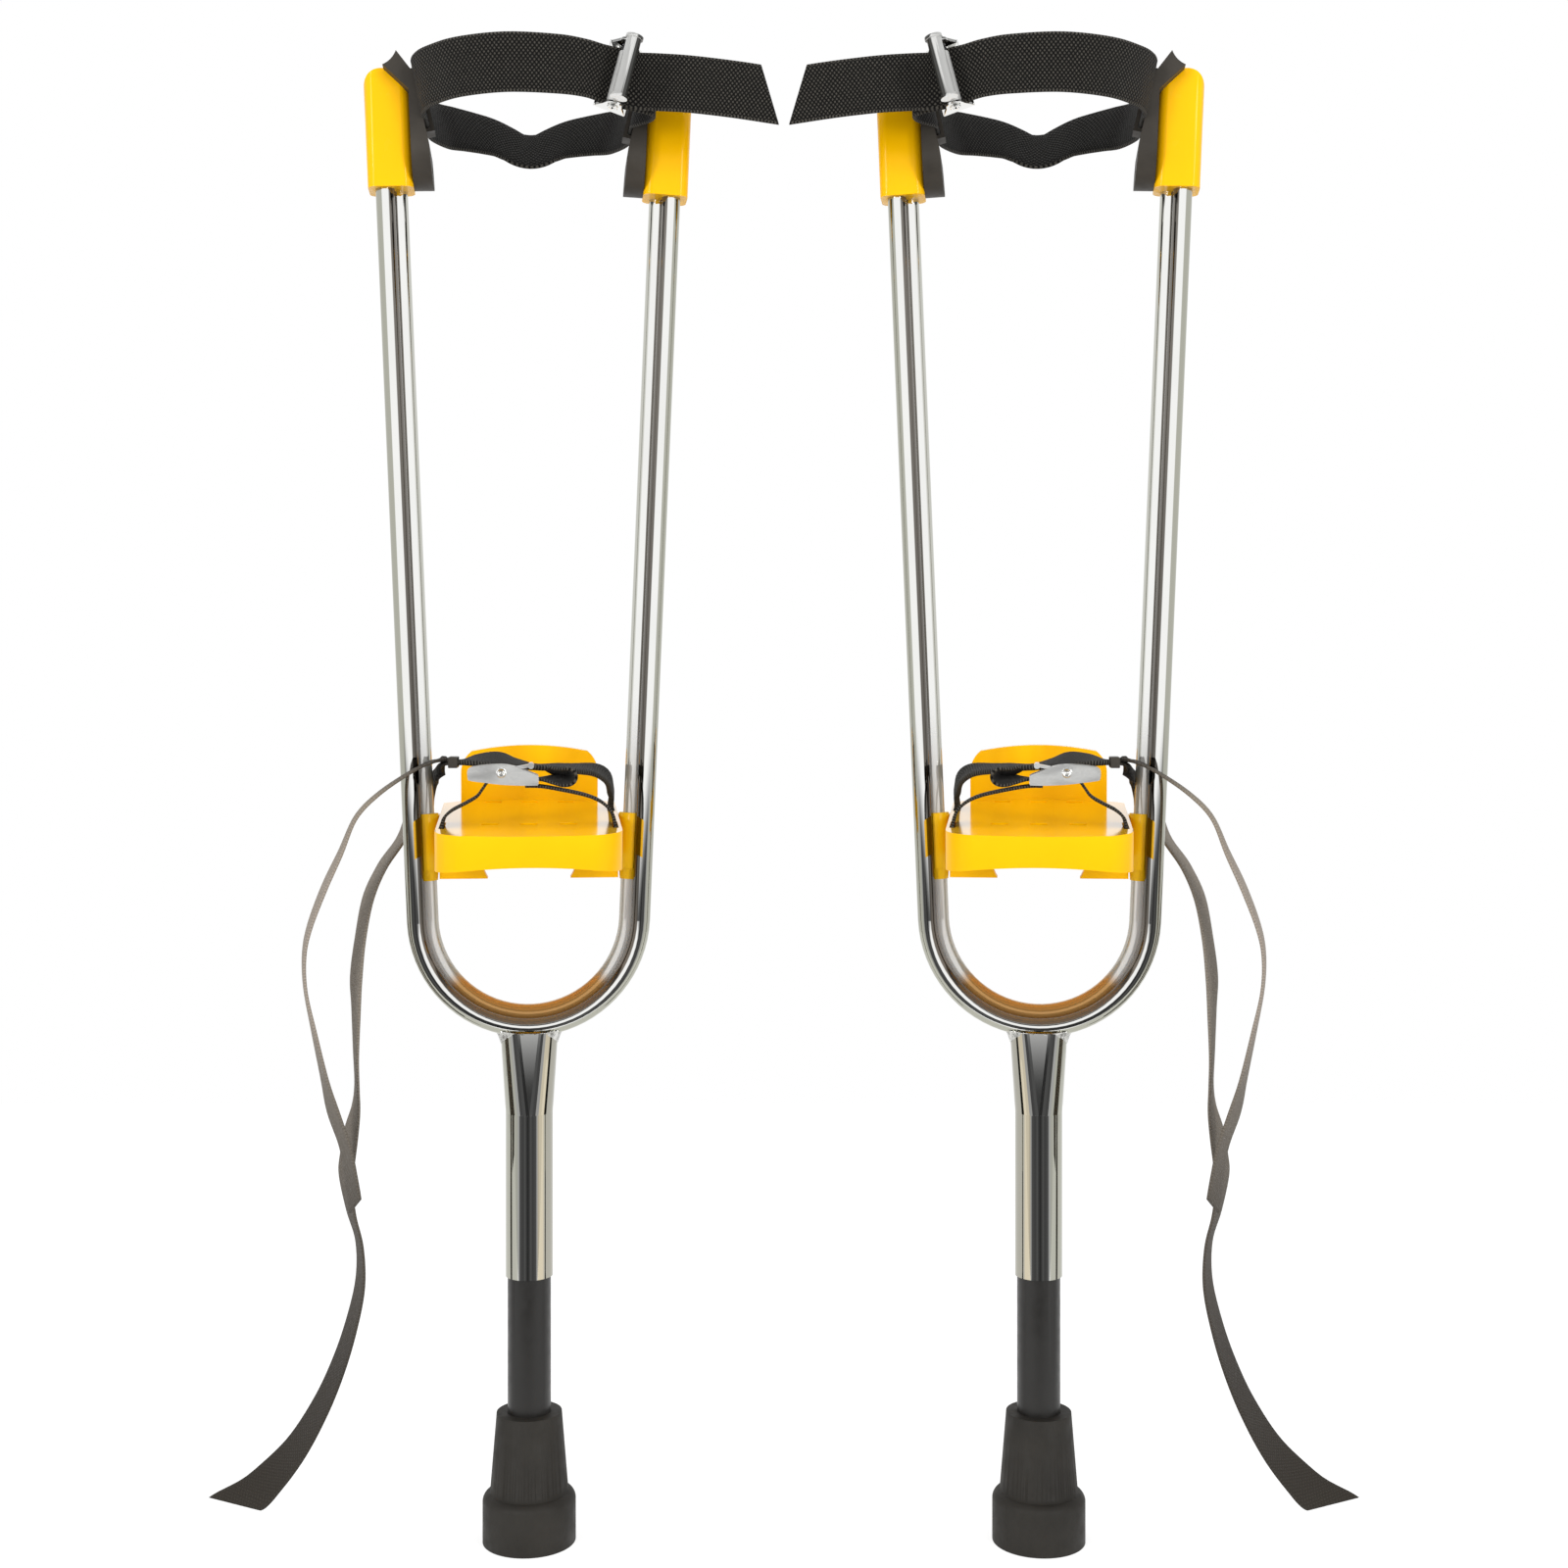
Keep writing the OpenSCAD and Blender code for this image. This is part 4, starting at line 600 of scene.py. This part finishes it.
def straps(side):
    knee, _, _ = strap_piece("knee_webbing", side, KNEE, KNEE_WIDTH, KNEE_THICK, KNEE_WEB, True, KNEE_SLANT)
    # Painted shade: the inside faces of the knee strap take the darker material
    knee.data.materials.append(KNEE_INSIDE_PAINTED_SHADE)
    for poly in knee.data.polygons:
        if (poly.index - 1) % SECTION_POINTS in INSIDE_FACE:
            poly.material_index = 1
    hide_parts(f"{side}_knee_strap")
    toe, _, _ = strap_piece("toe_webbing", side, TOE, FOOT_WIDTH, FOOT_THICK, FOOT_WEB)
    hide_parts(f"{side}_toe_strap")
    instep, _, _ = strap_piece("instep_webbing", side, INSTEP, FOOT_WIDTH, 2 * FOOT_THICK, FOOT_WEB)
    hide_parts(f"{side}_instep_strap")
    for name, route, slant in (("front", FRONT_TAIL, FRONT_SLANT), ("rear", REAR_TAIL, REAR_SLANT)):
        tail, path, length = strap_piece(
            f"{name}_tail_webbing", side, route, FOOT_WIDTH, FOOT_THICK, TAIL_WEB[name], slant=slant)
        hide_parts(f"{side}_{name}_strap_tail")


# The sleeve's weld under the two bows, a lumpy fillet that is larger at the sides
def weld_bead(side):
    verts = []
    for i in range(BEAD_RINGS):
        a = 2 * math.pi * i / BEAD_RINGS
        out = np.array([math.cos(a), math.sin(a), 0.0])
        centre = np.array([math.copysign((FLARE_W - FLARE_DEPTH) / 2, out[0]), 0.0, 0.0])
        centre *= min(1.0, abs(out[0]) * 2.5)
        wall = centre + out * FLARE_DEPTH / 2
        sideways = abs(out[0]) ** 3
        lump = 0.25 * math.sin(17 * a) + 0.2 * math.sin(29 * a + 1.3) + 0.15 * math.sin(43 * a + 0.4)
        reach = 0.7 + 4.6 * sideways + 0.5 * lump
        drop = 2.6 + 5.4 * sideways + 0.8 * lump
        spread = wall + out * reach
        top = BOW_Z - math.sqrt(BOW_OUTSIDE ** 2 - min(abs(spread[0]), 30.0) ** 2) + 0.8
        top += 1.6 * (1 - sideways) + 0.4 * lump
        final = FILLET_POINTS - 1
        for part in range(FILLET_POINTS):
            t = math.pi / 2 * part / final
            belly = 0.5 * math.sin(2 * t) * (0.6 + lump)
            at = wall + out * (reach * (1 - math.sin(t)) + belly - 0.25 * (part == final))
            height = top - drop * (1 - math.cos(t))
            verts.append((at[0], at[1], height))
        root = wall - ROOT * out
        verts.append((root[0], root[1], top - drop + 0.3))
        verts.append((root[0], root[1], top))
    faces = ring_faces(BEAD_RINGS, FILLET_POINTS + 2, closed=True)
    bead = mesh_piece("weld_bead", side, verts, faces, WELD, f"{side}_stilt")


# The spring shortens as the peg rises, so a copy of its coil stands for the rigid one
def spring_coil(side):
    node = f"{side}_peg_spring"
    coil = bpy.data.objects.new(f"{side}_spring_coil", frame["nodes"][node].data.copy())
    bpy.context.collection.objects.link(coil)
    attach(coil, f"{side}_stilt")
    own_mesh(coil)
    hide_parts(node)


for side in SIDES:
    straps(side)
    weld_bead(side)
    spring_coil(side)


# Stage: camera, pale floor and soft light
def add_camera():
    data = bpy.data.cameras.new("camera")
    data.sensor_width = SENSOR
    data.lens = SENSOR * FOCAL_PIXELS / IMAGE_PIXELS
    data.shift_y = SHIFT_PIXELS / IMAGE_PIXELS
    camera = bpy.data.objects.new("camera", data)
    camera.location = CAMERA_SPOT
    camera.rotation_euler = (math.radians(90), 0, 0)
    bpy.context.collection.objects.link(camera)
    bpy.context.scene.camera = camera


def add_floor():
    mesh = bpy.data.meshes.new("floor")
    corners = [(-1.2, -0.36, 0), (1.2, -0.36, 0), (1.2, 1.2, 0), (-1.2, 1.2, 0)]
    mesh.from_pydata(corners, [], [(0, 1, 2, 3)])
    floor = bpy.data.objects.new("floor", mesh)
    bpy.context.collection.objects.link(floor)
    s = Shade("floor_white")
    s.tree.nodes.clear()
    out = s.node("ShaderNodeOutputMaterial")
    matt = s.node("ShaderNodeBsdfDiffuse")
    matt.inputs["Color"].default_value = (0.8, 0.8, 0.8, 1)
    shade = s.node("ShaderNodeBsdfDiffuse")
    shade.inputs["Color"].default_value = (0.34, 0.34, 0.34, 1)
    glow = s.node("ShaderNodeEmission")
    glow.inputs["Strength"].default_value = FLOOR_GLOW
    both = s.node("ShaderNodeAddShader")
    s.feed(both.inputs[0], shade.outputs[0])
    s.feed(both.inputs[1], glow.outputs[0])
    path = s.node("ShaderNodeLightPath")
    seen = s.math("MAXIMUM", path.outputs["Is Camera Ray"], path.outputs["Is Glossy Ray"])
    seen = s.math("MAXIMUM", seen, path.outputs["Is Transmission Ray"])
    pick = s.node("ShaderNodeMixShader")
    s.feed(pick.inputs[0], seen)
    s.feed(pick.inputs[1], matt.outputs[0])
    s.feed(pick.inputs[2], both.outputs[0])
    s.feed(out.inputs["Surface"], pick.outputs[0])
    mesh.materials.append(s.mat)


def add_world():
    """White to the camera, even light on the object; reflections also show the room behind the camera."""
    world = bpy.data.worlds.new("studio")
    bpy.context.scene.world = world
    world.use_nodes = True
    s = Shade(None, world.node_tree)
    s.tree.nodes.clear()
    where = s.node("ShaderNodeTexCoord")
    x, y, level = s.split(where.outputs["Generated"])
    # The turn is 0 straight behind the camera and 1 straight ahead of it
    back = s.math("MULTIPLY", y, -1.0)
    turn = s.math("ABSOLUTE", s.math("ARCTAN2", x, back))
    turn = s.math("DIVIDE", turn, math.pi)
    ceiling = s.ramp(turn, [(0.2, 0.02), (0.3, 0.15), (0.7, 0.4), (0.85, 1.0)])
    wall = (1.0, 1.0, 1.0)
    room = s.ramp(turn, [
        (0.0, 0.022), (0.05, 0.05), (0.07, 0.085), (0.13, 0.05), (0.22, 0.075), (0.26, 0.5), (0.32, 0.95),
        (1.0, 1.0)])
    around = s.mix(s.step(level, -0.085, -0.015), room, wall)
    around = s.mix(s.step(level, 0.36, 0.42), around, ceiling)
    mirror = s.node("ShaderNodeBackground")
    s.feed(mirror.inputs["Color"], around)
    light = s.node("ShaderNodeBackground")
    light.inputs["Color"].default_value = (1, 1, 1, 1)
    light.inputs["Strength"].default_value = WORLD_LIGHT
    white = s.node("ShaderNodeBackground")
    white.inputs["Color"].default_value = (1, 1, 1, 1)
    path = s.node("ShaderNodeLightPath")
    first = s.node("ShaderNodeMixShader")
    s.feed(first.inputs[0], path.outputs["Is Glossy Ray"])
    s.feed(first.inputs[1], light.outputs[0])
    s.feed(first.inputs[2], mirror.outputs[0])
    seen = s.math("MAXIMUM", path.outputs["Is Camera Ray"], path.outputs["Is Transmission Ray"])
    last = s.node("ShaderNodeMixShader")
    s.feed(last.inputs[0], seen)
    s.feed(last.inputs[1], first.outputs[0])
    s.feed(last.inputs[2], white.outputs[0])
    out = s.node("ShaderNodeOutputWorld")
    s.feed(out.inputs["Surface"], last.outputs[0])


def add_lamp(name, spot, aim, size, power, lit, shine):
    """A soft lamp on the pieces in the collection lit; without shine, reflections don't show it."""
    data = bpy.data.lights.new(name, "AREA")
    data.shape = "RECTANGLE"
    data.size = size[0]
    data.size_y = size[1]
    data.energy = power
    lamp = bpy.data.objects.new(name, data)
    lamp.location = spot
    lamp.rotation_euler = (Vector(aim) - Vector(spot)).to_track_quat("-Z", "Y").to_euler()
    bpy.context.collection.objects.link(lamp)
    lamp.light_linking.receiver_collection = lit
    lamp.visible_glossy = shine


add_camera()
add_floor()
add_world()
# The mirror plating shows the room but not the lamps, and the polished footplates have no lamp glare
matt_pieces = bpy.data.collections.new("matt_pieces")
polished = bpy.data.collections.new("polished")
plated = [frame["nodes"][node] for node in PLATED]
plates = [frame["nodes"][f"{side}_footplate"] for side in SIDES]
for obj in bpy.context.scene.objects:
    if obj in plates:
        polished.objects.link(obj)
    elif obj.type == "MESH" and obj not in plated:
        matt_pieces.objects.link(obj)
for lit, shine in ((matt_pieces, True), (polished, False)):
    for hand in (-1, 1):
        spot = (hand * STRIP_SPOT[0], STRIP_SPOT[1], STRIP_SPOT[2])
        add_lamp("front_strip", spot, STRIP_AIM, STRIP_SIZE, STRIP_POWER, lit, shine)
    add_lamp("top_box", TOP_SPOT, TOP_AIM, TOP_SIZE, TOP_POWER, lit, shine)
bpy.context.scene.view_settings.view_transform = "Standard"
